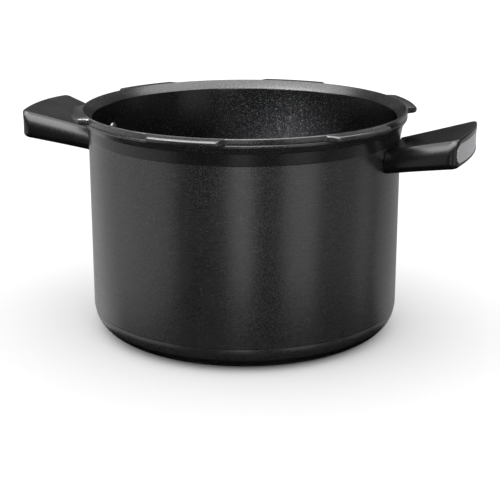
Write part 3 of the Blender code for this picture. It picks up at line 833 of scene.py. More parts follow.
# ---- Pot ----------------------------------------------------------------------------------------
@dataclass
class PotBody:
    """One-piece aluminium pot: floor, wall, neck, tiered rim ring, lid seat and bayonet lugs.

    The seat's lip points are shares of seat_lip from the corner that they soften. neck_shares say
    how far down the neck its loops lie, and neck_lands how far under it the wall's first loops
    are. rim_wear_and_sheen is the width and depth of the rubbed band on the rim, whose lighter
    colour is partly a painted highlight;
    crest_wear_and_sheen is the share of a lug's edge radius, and the depth, of the rubbed band on
    its crest, lighter in colour and partly a painted highlight.
    """

    height: float = 0.167
    inner_radius: float = 0.1124
    wall: float = 0.0032
    floor_thickness: float = 0.0057
    inner_corner: float = 0.015
    base_step: float = 0.0004
    ring_proud: float = 0.0046
    neck_proud: float = 0.0017
    upper_tier: float = 0.0042
    lower_tier: float = 0.0022
    shoulder_height: float = 0.0042
    shoulder_round: float = 0.0020
    shoulder_steps: tuple[int, int] = (7, 5)
    tier_groove: float = 0.0004
    groove_land: float = 0.0002
    groove_edge: float = 0.00012
    neck_height: float = 0.0087
    neck_shares: Point = (0.05, 0.95, 1.0)
    neck_foot: float = 0.0001
    neck_lands: Pair = (0.0002, 0.0007)
    # Share of the shoulder that the darker, painted-shade neck coat reaches up.
    neck_shade_share: float = 0.7
    rim_land: float = 0.0004
    rim_round: float = 0.0008
    seat_depth: float = 0.0060
    seat_lip: float = 0.0007
    seat_bottom_lip: tuple[Pair, ...] = ((0.0, -0.8), (0.3, 0.1))
    seat_top_lip: tuple[Pair, ...] = ((-1.0, -1.0), (-0.35, -0.15))
    seat_top_land: float = 0.2
    step_land: float = 0.0003
    step_edge: float = 0.0001
    lug_count: int = 6
    lug_reach: float = 0.0075
    lug_thickness: float = 0.0048
    lug_top_drop: float = 0.0002
    lug_half_angle: float = math.radians(10.9)
    lug_ramp_angle: float = math.radians(3.3)
    lug_first_angle: float = math.radians(30.0)
    lug_round: float = 0.0020
    lug_embed: float = 0.0007
    lug_end_below: float = 0.0003
    lug_blunt_share: float = 0.22
    lug_ramp_steps: int = 8
    lug_back_steps: int = 16
    # Rim band and lug crests get a lighter coat colour: partly rubbed coating, partly a painted
    # highlight.
    rim_wear_and_sheen: Pair = (0.0006, 0.0005)
    crest_wear_and_sheen: Pair = (0.6, 0.002)
    crest_wear_and_sheen_strength: float = 0.7
    foot_land: float = 0.009
    plate_thickness: float = 0.0012
    plate_proud: float = 0.0003
    gap: float = 0.0003
    steps: int = 256
    corner_steps: int = 18
    edge_steps: int = 6

    @property
    def body_radius(self) -> float:
        """Outside radius of the wall."""
        return self.inner_radius + self.wall

    @property
    def ring_radius(self) -> float:
        """Outside radius of the rim ring."""
        return self.body_radius + self.ring_proud

    @property
    def ring_bottom(self) -> float:
        """Height at which the ring's lower tier ends and its shoulder starts."""
        return self.height - self.upper_tier - self.lower_tier

    @property
    def neck_bottom(self) -> float:
        """Height at which the neck meets the wall."""
        return self.ring_bottom - self.shoulder_height - self.neck_height

    @property
    def plate_radius(self) -> float:
        """Radius of the induction plate."""
        return self.body_radius - self.inner_corner - self.wall - self.foot_land

    def shoulder(self) -> list[Pair]:
        """Round shoulder from the ring's lower tier in to the neck."""
        neck_radius = self.body_radius + self.neck_proud
        top = self.ring_bottom
        bottom = top - self.shoulder_height
        slope = math.atan2(self.ring_radius - neck_radius, self.shoulder_height)
        taper = math.atan2(self.neck_proud, self.neck_height)
        cling = self.shoulder_round * math.tan(0.5 * slope)
        centre = (self.ring_radius - self.shoulder_round, top + cling)
        upper_steps, lower_steps = self.shoulder_steps
        upper = arc(centre, self.shoulder_round, 0.0, -slope, upper_steps)
        settle = self.shoulder_round * math.tan(0.5 * (slope - taper))
        touch = (neck_radius + settle * math.sin(slope), bottom + settle * math.cos(slope))
        reach = (self.shoulder_round * math.cos(slope), -self.shoulder_round * math.sin(slope))
        hollow = (touch[0] + reach[0], touch[1] + reach[1])
        lower = arc(hollow, self.shoulder_round, math.pi - slope, math.pi - taper, lower_steps)
        return upper + lower

    def neck(self) -> list[Pair]:
        """Straight cone under the shoulder, kept straight by a loop close to each end."""
        top = self.shoulder()[-1]
        foot = (self.body_radius + self.neck_foot, self.neck_bottom)
        return [(top[0] + (foot[0] - top[0]) * share, top[1] + (foot[1] - top[1]) * share)
                for share in self.neck_shares]

    def seat(self) -> list[Pair]:
        """Coned seat for the lid, from the inner wall up to the rim, softened at both ends."""
        lip, bottom = self.seat_lip, self.height - self.seat_depth
        outer = self.ring_radius - self.rim_round - self.rim_land
        angle = math.atan2(self.seat_depth, outer - self.inner_radius)
        run, fall = lip * math.cos(angle), lip * math.sin(angle)
        lower = [(self.inner_radius + x * lip, bottom + z * lip) for x, z in self.seat_bottom_lip]
        upper = [(outer + x * run, self.height + z * fall) for x, z in self.seat_top_lip]
        return lower + upper + [(outer + self.seat_top_land * lip, self.height)]

    def groove(self) -> list[Pair]:
        """Fine groove between the ring's two tiers."""
        top = self.height - self.upper_tier
        bottom = top - self.tier_groove
        edge = self.ring_radius - self.groove_edge
        return [
            (self.ring_radius, top + self.groove_land), (edge, top),
            (self.ring_radius - self.tier_groove, top - 0.5 * self.tier_groove),
            (edge, bottom), (self.ring_radius, bottom - self.groove_land),
        ]

    def profile(self) -> list[Pair]:
        """Section of the pot, from the middle of its inner floor round to the plate's recess."""
        inner_floor = self.plate_proud + self.floor_thickness
        outer_corner = self.inner_corner + self.wall
        foot_radius = outer_corner - self.base_step
        inner_centre = (self.inner_radius - self.inner_corner, inner_floor + self.inner_corner)
        outer_centre = (self.body_radius - outer_corner, self.plate_proud + foot_radius)
        rim_centre = (self.ring_radius - self.rim_round, self.height - self.rim_round)
        foot = arc(outer_centre, foot_radius, 0.0, -QUARTER_TURN, self.corner_steps)
        step_top = foot[0][1] + self.base_step
        recess_radius = self.plate_radius + self.gap
        recess_top = self.plate_thickness + self.gap
        return (
            [(0.0, inner_floor)]
            + arc(inner_centre, self.inner_corner, -QUARTER_TURN, 0.0, self.corner_steps)
            + self.seat()
            + arc(rim_centre, self.rim_round, QUARTER_TURN, 0.0, self.edge_steps)
            + self.groove()
            + self.shoulder()
            + self.neck()
            + [(self.body_radius, self.neck_bottom - land) for land in self.neck_lands]
            + [(self.body_radius, step_top + self.step_land)]
            + [(self.body_radius - self.step_edge, step_top)]
            + foot
            + [(recess_radius, self.plate_proud), (recess_radius, recess_top), (0.0, recess_top)]
        )

    def lug(self, middle: float) -> Blank:
        """One bayonet lug: a bar with round edges swept round the ring, its ends ramped in to it.

        Args:
            middle: Angle of the lug's middle.

        Returns:
            The lug.
        """
        top = self.height - self.lug_top_drop
        bottom = top - self.lug_thickness
        root = self.ring_radius - self.lug_embed
        crest = self.ring_radius + self.lug_reach
        edge, steps = self.lug_round, self.edge_steps
        upper = arc((crest - edge, top - edge), edge, QUARTER_TURN, 0.0, steps)
        lower = arc((crest - edge, bottom + edge), edge, 0.0, -QUARTER_TURN, steps)
        section = [(root, top)] + upper + lower + [(root, bottom)]
        half, ramp = self.lug_half_angle, self.lug_ramp_angle
        blunt = self.lug_blunt_share * ramp
        count, back = self.lug_ramp_steps, self.lug_back_steps
        ease = [0.5 - 0.5 * math.cos(math.pi * part / count) for part in range(count + 1)]
        stations = [(-half - ramp * part / count, ease[part]) for part in range(count, 0, -1)]
        stations += [(-half + blunt * part, 0.0) for part in (0, 1)]
        stations += [((half - blunt) * (2 * part / back - 1), 0.0) for part in range(1, back)]
        stations += [(half - blunt * part, 0.0) for part in (1, 0)]
        stations += [(half + ramp * part / count, ease[part]) for part in range(1, count + 1)]
        loops: list[list[Point]] = []
        for angle, fall in stations:
            inward = fall * (self.lug_reach + self.lug_end_below)
            across, along = math.cos(middle + angle), math.sin(middle + angle)
            spots = [(max(root, radius - inward), height) for radius, height in section]
            loops.append([(spot * across, spot * along, height) for spot, height in spots])
        return Blank().stacked(loops)

    def build(self, workshop: Workshop, rivet_holes: Sequence[Blank]) -> bpy.types.Object:
        """Model the pot.

        Args:
            workshop: The finishes.
            rivet_holes: The rods that drill the wall for the rivets.

        Returns:
            The finished piece.
        """
        pot = Blank().turned(self.profile(), self.steps).piece("pot")
        cuts: list[tuple[Blank, Cut]] = []
        for number in range(self.lug_count):
            middle = self.lug_first_angle + FULL_TURN * number / self.lug_count
            cuts.append((self.lug(middle), Cut.JOIN))
        cuts += [(hole, Cut.CARVE) for hole in rivet_holes]
        combined(pot, cuts)
        reshaped(pot, self.mark_wear_and_sheen)
        hand_in(pot, "pot_body", Slot.COATED_ALUMINIUM, workshop)
        self.coat(pot, workshop)
        return pot

    def coat(self, pot: bpy.types.Object, workshop: Workshop) -> None:
        """Give the inside the coarser sparkle of the cooking surface, and the neck a smoother,
        darker copy of the coat as painted shade.

        Args:
            pot: The finished pot.
            workshop: The finishes.
        """
        lining_place, neck_shade_place = 1, 2
        pot.data.materials.append(workshop.lining)
        pot.data.materials.append(workshop.neck)
        floor = self.plate_proud + self.floor_thickness - self.gap
        neck_top = self.ring_bottom - self.neck_shade_share * self.shoulder_height
        for face in pot.data.polygons:
            radius, height = math.hypot(face.center.x, face.center.y), face.center.z
            if height > floor and radius < self.inner_radius + 0.5 * self.gap:
                face.material_index = lining_place
            # The neck band takes the darker coat: painted shade.
            elif self.neck_bottom < height < neck_top and radius > self.inner_radius + self.gap:
                face.material_index = neck_shade_place

    def mark_wear_and_sheen(self, blank: Blank) -> None:
        """Mark the rim's outer edge and the lugs' crests, where a lid rubs the coating and where the
        coat is painted lighter, partly as a highlight.

        Args:
            blank: The pot's mesh.
        """
        layer = blank.shape.verts.layers.float.new("wear_and_sheen")
        rim_radius = self.ring_radius - 0.5 * self.rim_round
        rim_width, rim_depth = self.rim_wear_and_sheen
        crest_share, crest_depth = self.crest_wear_and_sheen
        crest_radius = self.ring_radius + self.lug_reach - crest_share * self.lug_round
        for point in blank.shape.verts:
            radius = math.hypot(point.co.x, point.co.y)
            rim = abs(radius - rim_radius) < rim_width and point.co.z > self.height - rim_depth
            crest = radius > crest_radius and point.co.z > self.height - crest_depth
            point[layer] = 1.0 if rim else self.crest_wear_and_sheen_strength if crest else 0.0


@dataclass
class InductionPlate:
    """Ferritic steel disc set in the underside, with turned grooves on its face."""

    radius: float
    thickness: float
    grooves: int = 5
    groove_depth: float = 0.00015
    groove_mouth: float = 0.0006
    groove_floor: float = 0.0002
    edge: float = 0.0003
    steps: int = 192

    def build(self, workshop: Workshop) -> bpy.types.Object:
        """Model the disc.

        Args:
            workshop: The finishes.

        Returns:
            The finished piece.
        """
        profile = [(0.0, self.thickness), (self.radius - self.edge, self.thickness)]
        profile += [(self.radius, self.thickness - self.edge), (self.radius, self.edge)]
        profile += [(self.radius - self.edge, 0.0)]
        mouth, floor, depth = self.groove_mouth, self.groove_floor, self.groove_depth
        for number in range(self.grooves, 0, -1):
            middle = self.radius * number / (self.grooves + 1)
            profile += [(middle + mouth, 0.0), (middle + floor, depth)]
            profile += [(middle - floor, depth), (middle - mouth, 0.0)]
        profile.append((0.0, 0.0))
        disc = Blank().turned(profile, self.steps).piece("base_disc")
        return hand_in(disc, "induction_plate", Slot.FERRITIC_STEEL, workshop)


# ---- Side grips ---------------------------------------------------------------------------------
@dataclass
class Hardware:
    """Bracket, rivets and fasteners that hold one grip, as they sit in the pot's +X side."""

    pot: PotBody
    bracket_thickness: float = 0.0025
    bracket_half_width: float = 0.016
    bracket_bottom: float = 0.1325
    bracket_height: float = 0.0126
    rivet_height: float = 0.1407
    rivet_spacing: float = 0.016
    rivet_shank: float = 0.0025
    rivet_dome_radius: float = 0.0052
    rivet_dome_height: float = 0.0022
    rivet_upset_radius: float = 0.0038
    rivet_upset_height: float = 0.0014
    rivet_upset_round: float = 0.0009
    tongue_width: float = 0.024
    tongue_angle: float = math.radians(18.0)
    tongue_tip_radius: float = 0.1519
    screw_to_tip: float = 0.0086
    screw_radius: float = 0.0025
    screw_head_radius: float = 0.0044
    screw_head_height: float = 0.0019
    screw_socket_radius: float = 0.0017
    screw_socket_depth: float = 0.0013
    screw_socket_sides: int = 6
    screw_tip: float = 0.0012
    screw_edge: float = 0.0006
    seat_wall: float = 0.0018
    washer_thickness: float = 0.0010
    nut_side: float = 0.008
    nut_thickness: float = 0.0027
    pocket_clearance: float = 0.0005
    bore_depth: float = 0.0171
    gap: float = 0.0003
    overshoot: float = 0.002
    round_sides: int = 64
    hole_sides: int = 48
    dome_steps: int = 12
    edge_steps: int = 5

    @property
    def tongue_frame(self) -> Matrix:
        """Frame at the root of the bracket's tongue, with X along the tongue."""
        radius = self.pot.body_radius + self.gap + 0.5 * self.bracket_thickness
        height = self.bracket_bottom + 0.5 * self.bracket_thickness
        tilt = Matrix.Rotation(-self.tongue_angle, 4, "Y")
        return Matrix.Translation((radius, 0.0, height)) @ tilt

    @property
    def tongue_length(self) -> float:
        """Length of the tongue."""
        radius = self.pot.body_radius + self.gap + 0.5 * self.bracket_thickness
        return (self.tongue_tip_radius - radius) / math.cos(self.tongue_angle)

    @property
    def screw_frame(self) -> Matrix:
        """Frame of the screw, with Z along it."""
        along = self.tongue_length - self.screw_to_tip
        return self.tongue_frame @ Matrix.Translation((along, 0.0, 0.0))

    @property
    def screw_seat(self) -> float:
        """Height of the washer's seat in the screw's frame."""
        return -0.5 * self.bracket_thickness - self.gap - self.seat_wall

    def rivet_frame(self, direction: int) -> Matrix:
        """Frame of a rivet on the inner wall, with Z pointing outwards.

        Args:
            direction: -1 for the front rivet, 1 for the rear one.

        Returns:
            The frame.
        """
        angle = direction * math.asin(0.5 * self.rivet_spacing / self.pot.body_radius)
        radius = self.pot.inner_radius
        spot = (math.cos(angle) * radius, math.sin(angle) * radius, self.rivet_height)
        turn = Matrix.Rotation(angle, 4, "Z") @ Matrix.Rotation(QUARTER_TURN, 4, "Y")
        return Matrix.Translation(spot) @ turn

    def rivet_hole(self, direction: int, side: Side) -> Blank:
        """Rod that drills one rivet hole."""
        bottom = -self.rivet_dome_height - self.overshoot
        top = self.pot.wall + self.bracket_thickness + 2 * self.gap + self.overshoot
        rod = Blank().rod(self.rivet_shank + self.gap, bottom, top, self.hole_sides)
        return rod.moved(side.turn @ self.rivet_frame(direction))

    def rivet(self, direction: int) -> Blank:
        """Rivet with a domed head inside the pot and an upset head on the bracket."""
        dome_radius, dome_height = self.rivet_dome_radius, self.rivet_dome_height
        head_top = -self.gap - dome_radius**2 / (2 * self.pot.inner_radius)
        upset = self.pot.wall + self.bracket_thickness + 2 * self.gap
        sphere = (dome_radius**2 + dome_height**2) / (2 * dome_height)
        spread = math.asin(dome_radius / sphere)
        dome_centre = (0.0, head_top - dome_height + sphere)
        upset_top, edge = upset + self.rivet_upset_height, self.rivet_upset_round
        upset_centre = (self.rivet_upset_radius - edge, upset_top - edge)
        dome = arc(dome_centre, sphere, spread - QUARTER_TURN, -QUARTER_TURN, self.dome_steps)
        profile = [(0.0, upset_top)]
        profile += arc(upset_centre, edge, QUARTER_TURN, 0.0, self.edge_steps)
        profile += [(self.rivet_upset_radius, upset), (self.rivet_shank, upset)]
        profile += [(self.rivet_shank, head_top), (dome_radius, head_top)]
        profile += dome[1:-1] + [(0.0, head_top - dome_height)]
        return Blank().turned(profile, self.round_sides).moved(self.rivet_frame(direction))

    def screw(self) -> bpy.types.Object:
        """Grip screw with a round head and a six-sided socket."""
        washer_top = self.screw_seat - self.gap
        head_top = washer_top - self.washer_thickness - self.gap
        head_bottom = head_top - self.screw_head_height
        nut_top = 0.5 * self.bracket_thickness + self.gap + self.nut_thickness
        edge, tip = self.screw_edge, nut_top + self.screw_tip
        head_centre = (self.screw_head_radius - edge, head_bottom + edge)
        profile = [(0.0, tip), (self.screw_radius - edge, tip), (self.screw_radius, tip - edge)]
        profile += [(self.screw_radius, head_top), (self.screw_head_radius, head_top)]
        profile += arc(head_centre, edge, 0.0, -QUARTER_TURN, self.edge_steps)
        profile += [(0.0, head_bottom)]
        socket = Blank().rod(self.screw_socket_radius, head_bottom - self.overshoot,
                             head_bottom + self.screw_socket_depth, self.screw_socket_sides)
        screw = Blank().turned(profile, self.round_sides).piece("screw")
        return combined(screw, [(socket, Cut.CARVE)])

    def grip_cutters(self) -> list[Blank]:
        """Solids that hollow a grip for the bracket, its tongue, the nut and the screw."""
        gap, thickness = self.gap, self.bracket_thickness
        body = self.pot.body_radius
        half = self.bracket_half_width * (1.0 + thickness / body) + self.pocket_clearance
        reach = body + gap + thickness + gap + self.rivet_upset_height + self.pocket_clearance
        pocket = Blank().box((body - self.overshoot, -half, self.bracket_bottom - gap),
                             (reach, half, self.bracket_bottom + self.bracket_height + gap))
        slot_half = 0.5 * self.tongue_width + gap
        slot_floor = -0.5 * thickness - gap
        slot = Blank().box((0.0, -slot_half, slot_floor),
                           (self.tongue_length + gap, slot_half, -slot_floor))
        channel_half = 0.5 * self.nut_side + gap
        channel_end = self.tongue_length - self.screw_to_tip + channel_half
        channel_top = 0.5 * thickness + self.nut_thickness + self.screw_tip + 3 * gap
        channel = Blank().box((0.0, -channel_half, 0.0), (channel_end, channel_half, channel_top))
        seat = self.screw_seat
        bore = Blank().rod(self.screw_head_radius + gap, seat - self.bore_depth, seat,
                           self.round_sides)
        hole = Blank().rod(self.screw_radius + gap, seat - self.overshoot, channel_top,
                           self.hole_sides)
        return [pocket, slot.moved(self.tongue_frame), channel.moved(self.tongue_frame),
                bore.moved(self.screw_frame), hole.moved(self.screw_frame)]


@dataclass
class SideGrip:
    """Moulded grip with a flat top, full round sides and a steel cap let in to its end.

    The blank runs root_overlap into the wall before it is cut to it. near_share places the side's
    middle point, as a share of the way from the wall to the end.
    """

    pot: PotBody
    hardware: Hardware
    reach: float = 0.0548
    root_half_width: float = 0.027
    end_half_width: float = 0.0387
    corner_radius: float = 0.0068
    top_angle: float = math.radians(14.7)
    bottom_angle: float = math.radians(11.0)
    below_neck: float = 0.0009
    root_thickness: float = 0.0171
    wall_gap: float = 0.0005
    side_top_inset: float = 0.0042
    side_top_drop: float = 0.0124
    side_bottom_inset: float = 0.0044
    side_bottom_rise: float = 0.0052
    end_top_inset: float = 0.0014
    end_top_drop: float = 0.0018
    end_bottom_inset: float = 0.0020
    end_bottom_rise: float = 0.0022
    crease_angle: float = math.radians(30.0)
    crease_round: float = 0.0003
    crease_steps: int = 3
    root_overlap: float = 0.008
    near_share: float = 0.4
    cap_thickness: float = 0.0010
    cap_side_border: float = 0.0026
    cap_top_border: float = 0.0036
    cap_bottom_border: float = 0.0024
    cap_corner: float = 0.005
    cap_border_round: float = 0.00025
    cap_border_steps: int = 3
    recess_lip_round: float = 0.0003
    recess_lip_steps: int = 2
    border_angle: float = math.radians(60.0)
    surface_tolerance: float = 0.00012
    tab_size: Point = (0.005, 0.006, 0.0012)
    tab_spacing: float = 0.036
    gap: float = 0.0003
    overshoot: float = 0.002
    corner_steps: int = 14
    end_steps: int = 40
    round_steps: int = 9
    strip_sides: int = 4
    sheet_corner_steps: int = 20
    sheet_end_steps: int = 60
    cap_corner_steps: int = 10
    wall_steps: int = 256

    @property
    def end_radius(self) -> float:
        """Distance of the grip's end from the pot's axis."""
        return self.pot.body_radius + self.reach

    @property
    def corner_centre(self) -> Pair:
        """Centre of the rear corner's arc, seen from above."""
        y = self.end_half_width - self.corner_radius
        return math.sqrt((self.end_radius - self.corner_radius) ** 2 - y**2), y

    def top(self, radius: float) -> float:
        """Height of the top face at a distance from the pot's axis."""
        root = self.pot.neck_bottom - self.below_neck
        return root + math.tan(self.top_angle) * (radius - self.pot.body_radius)

    def bottom(self, radius: float) -> float:
        """Height of the bottom face at a distance from the pot's axis."""
        root = self.pot.neck_bottom - self.below_neck - self.root_thickness
        return root + math.tan(self.bottom_angle) * (radius - self.pot.body_radius)

    def lean(self) -> Pair:
        """Where a side meets the wall, and the angle at which the sides spread."""
        wall_x = math.sqrt(self.pot.body_radius**2 - self.root_half_width**2)
        corner_x = math.sqrt(self.end_radius**2 - self.end_half_width**2)
        return wall_x, math.atan2(self.end_half_width - self.root_half_width, corner_x - wall_x)

    def end_path(self, inset: float, corner_steps: int, end_steps: int) -> list[Pair]:
        """Line around the end and its corners, moved inwards.

        Args:
            inset: Distance to move the line in.
            corner_steps: Steps in each corner.
            end_steps: Steps in the end.

        Returns:
            The points, from the front corner to the rear one.
        """
        corner_x, corner_y = self.corner_centre
        meet = math.atan2(corner_y, corner_x)
        side = QUARTER_TURN + self.lean()[1]
        radius = self.corner_radius - inset
        front = arc((corner_x, -corner_y), radius, -side, -meet, corner_steps)
        end = arc((0.0, 0.0), self.end_radius - inset, -meet, meet, end_steps)[1:-1]
        rear = arc((corner_x, corner_y), radius, meet, side, corner_steps)
        return front + end + rear

    def end_share(self) -> list[float]:
        """How far each point of the outline belongs to the end rather than to a side."""
        steps = self.corner_steps
        corner = [0.5 - 0.5 * math.cos(math.pi * step / steps) for step in range(steps + 1)]
        return [0.0, 0.0] + corner + [1.0] * (self.end_steps - 1) + corner[::-1] + [0.0, 0.0]

    def loop(self, bend: float, upper: bool) -> list[Point]:
        """One level of the grip's outer surface.

        Args:
            bend: Angle on the edge's curve: the crease angle at the crease, a quarter turn at
                its foot.
            upper: Whether this is the top edge's curve rather than the bottom's.

        Returns:
            The closed loop.
        """
        start = math.sin(self.crease_angle)
        inward = (1.0 - math.sin(bend)) / (1.0 - start)
        fall = 1.0 - math.cos(bend) / math.cos(self.crease_angle)
        if upper:
            side_inset, side_fall = self.side_top_inset, self.side_top_drop
            end_inset, end_fall = self.end_top_inset, self.end_top_drop
        else:
            side_inset, side_fall = self.side_bottom_inset, self.side_bottom_rise
            end_inset, end_fall = self.end_bottom_inset, self.end_bottom_rise
        wall_x, lean = self.lean()
        root_x = wall_x - self.root_overlap
        root_y = (self.root_half_width - self.root_overlap * math.tan(lean)
                  - side_inset * inward / math.cos(lean))
        near_x = wall_x + self.near_share * (self.end_radius - wall_x)
        near_y = root_y + (near_x - root_x) * math.tan(lean)
        shares = self.end_share()
        paths = [self.end_path(inset * inward, self.corner_steps, self.end_steps)
                 for inset in (side_inset, end_inset)]
        mixed = [(a[0] + (b[0] - a[0]) * share, a[1] + (b[1] - a[1]) * share)
                 for a, b, share in zip(*paths, shares[2:-2])]
        outline = [(root_x, -root_y), (near_x, -near_y)] + mixed
        outline += [(near_x, near_y), (root_x, root_y)]
        places: list[Point] = []
        for (x, y), share in zip(outline, shares):
            move = (side_fall + (end_fall - side_fall) * share) * fall
            places.append((x, y, self.top(x) - move if upper else self.bottom(x) + move))
        return places

    def moulding(self) -> Blank:
        """Solid outside shape of the grip, before it is hollowed."""
        spread = QUARTER_TURN - self.crease_angle
        bends = [self.crease_angle + spread * step / self.round_steps
                 for step in range(self.round_steps + 1)]
        loops = [self.loop(bend, True) for bend in bends]
        loops += [self.loop(bend, False) for bend in bends[::-1]]
        blank = Blank().stacked(loops)

        def flat(face: bmesh.types.BMFace) -> bool:
            """Whether a face is the whole top or bottom rather than a strip of the edge's curve."""
            return len(face.verts) > self.strip_sides

        def crease(edge: bmesh.types.BMEdge) -> bool:
            """Whether an edge borders the flat top or bottom face."""
            return any(flat(face) for face in edge.link_faces)

        # Crease bevels are marked for a lighter bakelite colour: partly rubbed edges, partly a
        # painted highlight.
        blank.rounded(crease, self.crease_round, self.crease_steps, "wear_and_sheen")
        flats = [face for face in blank.shape.faces if flat(face)]
        bmesh.ops.inset_individual(
            blank.shape, faces=flats, thickness=self.crease_round, use_even_offset=True)
        return blank

    def prism(self, grow: float) -> Blank:
        """Rounded prism along X that trims the cap, or its recess when grown.

        Args:
            grow: How far it is grown.

        Returns:
            The prism.
        """
        edge = math.sqrt(self.end_radius**2 - self.end_half_width**2)
        half = self.end_half_width - self.cap_side_border + grow
        low = self.bottom(self.end_radius) + self.cap_bottom_border - grow
        high = self.top(edge) - self.cap_top_border + grow
        outline = rounded_rectangle((-half, low), (half, high), self.cap_corner + grow,
                                    self.cap_corner_steps)
        ends = (edge - 2 * self.corner_radius, edge + 2 * self.corner_radius)
        return Blank().stacked([[(x, y, z) for y, z in outline] for x in ends])

    def sheet(self, outer_inset: float, inner_inset: float) -> Blank:
        """Upright sheet around the end and its corners, between two insets."""
        steps = (self.sheet_corner_steps, self.sheet_end_steps)
        outline = self.end_path(outer_inset, *steps) + self.end_path(inner_inset, *steps)[::-1]
        heights = (0.5 * self.pot.height, 1.5 * self.pot.height)
        return Blank().stacked([[(x, y, z) for x, y in outline] for z in heights])

    def tab(self, middle: float, grow: float) -> Blank:
        """One tab behind the cap, or its slot when grown."""
        back = self.end_radius - self.gap - self.cap_thickness
        root = math.sqrt(back**2 - middle**2)
        height = 0.5 * (self.top(self.end_radius) + self.bottom(self.end_radius))
        length, width, thickness = self.tab_size
        tail = self.cap_thickness if grow else 0.5 * self.cap_thickness
        half_width, half_thickness = 0.5 * width + grow, 0.5 * thickness + grow
        return Blank().box((root - length - grow, middle - half_width, height - half_thickness),
                           (root + tail, middle + half_width, height + half_thickness))

    def tabs(self, grow: float, cut: Cut) -> list[tuple[Blank, Cut]]:
        """Both tabs behind the cap, or their slots when grown, with what to do with them."""
        return [(self.tab(sign * 0.5 * self.tab_spacing, grow), cut) for sign in (-1, 1)]

    def cap(self) -> bpy.types.Object:
        """Steel cap: a sheet round the end with a softened border and two tabs behind it."""
        sheet = self.sheet(self.gap, self.gap + self.cap_thickness)
        cap = combined(self.prism(0.0).piece("cap"), [(sheet, Cut.KEEP_SHARED)])

        def border(edge: bmesh.types.BMEdge) -> bool:
            """Whether an edge is on the border of the cap's outer face."""
            return edge.calc_face_angle(0.0) > self.border_angle and self.outside(edge, self.gap)

        reshaped(cap, lambda blank: blank.rounded(
            border, self.cap_border_round, self.cap_border_steps))
        return combined(cap, self.tabs(0.0, Cut.JOIN))

    def outside(self, edge: bmesh.types.BMEdge, inset: float) -> bool:
        """Whether both ends of an edge lie on the outer surface, moved in by an inset.

        Args:
            edge: The edge.
            inset: How far the surface is moved in.

        Returns:
            True if the edge lies there.
        """
        corner_x, corner_y = self.corner_centre
        meet = math.atan2(corner_y, corner_x)
        for vert in edge.verts:
            x, y = vert.co.x, abs(vert.co.y)
            if math.atan2(y, x) < meet:
                off = self.end_radius - inset - math.hypot(x, y)
            else:
                off = self.corner_radius - inset - math.hypot(x - corner_x, y - corner_y)
            if abs(off) > self.surface_tolerance:
                return False
        return True

    def handle(self) -> bpy.types.Object:
        """The grip, cut to the wall, hollowed and recessed for its cap."""
        wall = Blank().rod(self.pot.body_radius + self.wall_gap, 0.0, 2 * self.pot.height,
                           self.wall_steps)
        inset = self.gap + self.cap_thickness + self.gap
        recess = combined(self.prism(self.gap).piece("recess"),
                          [(self.sheet(-self.overshoot, inset), Cut.KEEP_SHARED)])
        cutter = Blank()
        cutter.shape.from_mesh(recess.data)
        bpy.data.objects.remove(recess, do_unlink=True)
        cuts = [(wall, Cut.CARVE), (cutter, Cut.CARVE)]
        cuts += [(blank, Cut.CARVE) for blank in self.hardware.grip_cutters()]
        cuts += self.tabs(self.gap, Cut.CARVE)
        grip = combined(self.moulding().piece("grip"), cuts)

        def lip(edge: bmesh.types.BMEdge) -> bool:
            """Whether an edge is the mouth of the cap's recess."""
            return edge.calc_face_angle(0.0) > self.border_angle and self.outside(edge, 0.0)

        # The recess lip's bevel is marked the same way: partly rubbed edges, partly a painted
        # highlight.
        return reshaped(grip, lambda blank: blank.rounded(
            lip, self.recess_lip_round, self.recess_lip_steps, "wear_and_sheen"))

    def build(self, side: Side, workshop: Workshop) -> list[bpy.types.Object]:
        """Model one side: grip, cap, rivets and screw; dress the hidden hardware.

        Args:
            side: Which side of the pot.
            workshop: The finishes.

        Returns:
            The new pieces.
        """
        made = []
        screw = self.hardware.screw()
        screw.data.transform(self.hardware.screw_frame)
        new_pieces = (
            (self.handle(), "grip", Slot.BLACK_BAKELITE),
            (self.cap(), "end_cap", Slot.CAP_STAINLESS),
            (screw, "grip_screw", Slot.SCREW_STEEL),
            (self.hardware.rivet(-1).piece("rivet"), "rivet_front", Slot.RIVET_ALUMINIUM),
            (self.hardware.rivet(1).piece("rivet"), "rivet_rear", Slot.RIVET_ALUMINIUM),
        )
        for piece, part, slot in new_pieces:
            piece.name = f"{side.value}_{part}_finished"
            piece.data.transform(side.turn)
            made.append(hand_in(piece, f"{side.value}_{part}", slot, workshop))
        kept_nodes = (("bracket", Slot.BRACKET_STEEL), ("spring_washer", Slot.SPRING_STEEL),
                      ("grip_nut", Slot.SCREW_STEEL))
        for part, slot in kept_nodes:
            workshop.dress(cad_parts[f"{side.value}_{part}"], slot)
            LOG.info("%s_%s: CAD node with its finish", side.value, part)
        return made


# ---- Studio -------------------------------------------------------------------------------------
def area_light(name: str, width: float, length: float, radiance: float) -> bpy.types.Object:
    """Rectangular soft light that shows only in what is glossy.

    Args:
        name: Name of the light.
        width: Its first side, in metres.
        length: Its second side.
        radiance: Brightness of its surface.

    Returns:
        The light, at the origin and facing down.
    """
    data = bpy.data.lights.new(name, "AREA")
    data.shape = "RECTANGLE"
    data.size = width
    data.size_y = length
    data.energy = radiance * math.pi * data.size * data.size_y
    light = placed(name, data)
    light.visible_camera = False
    light.visible_diffuse = False
    return light


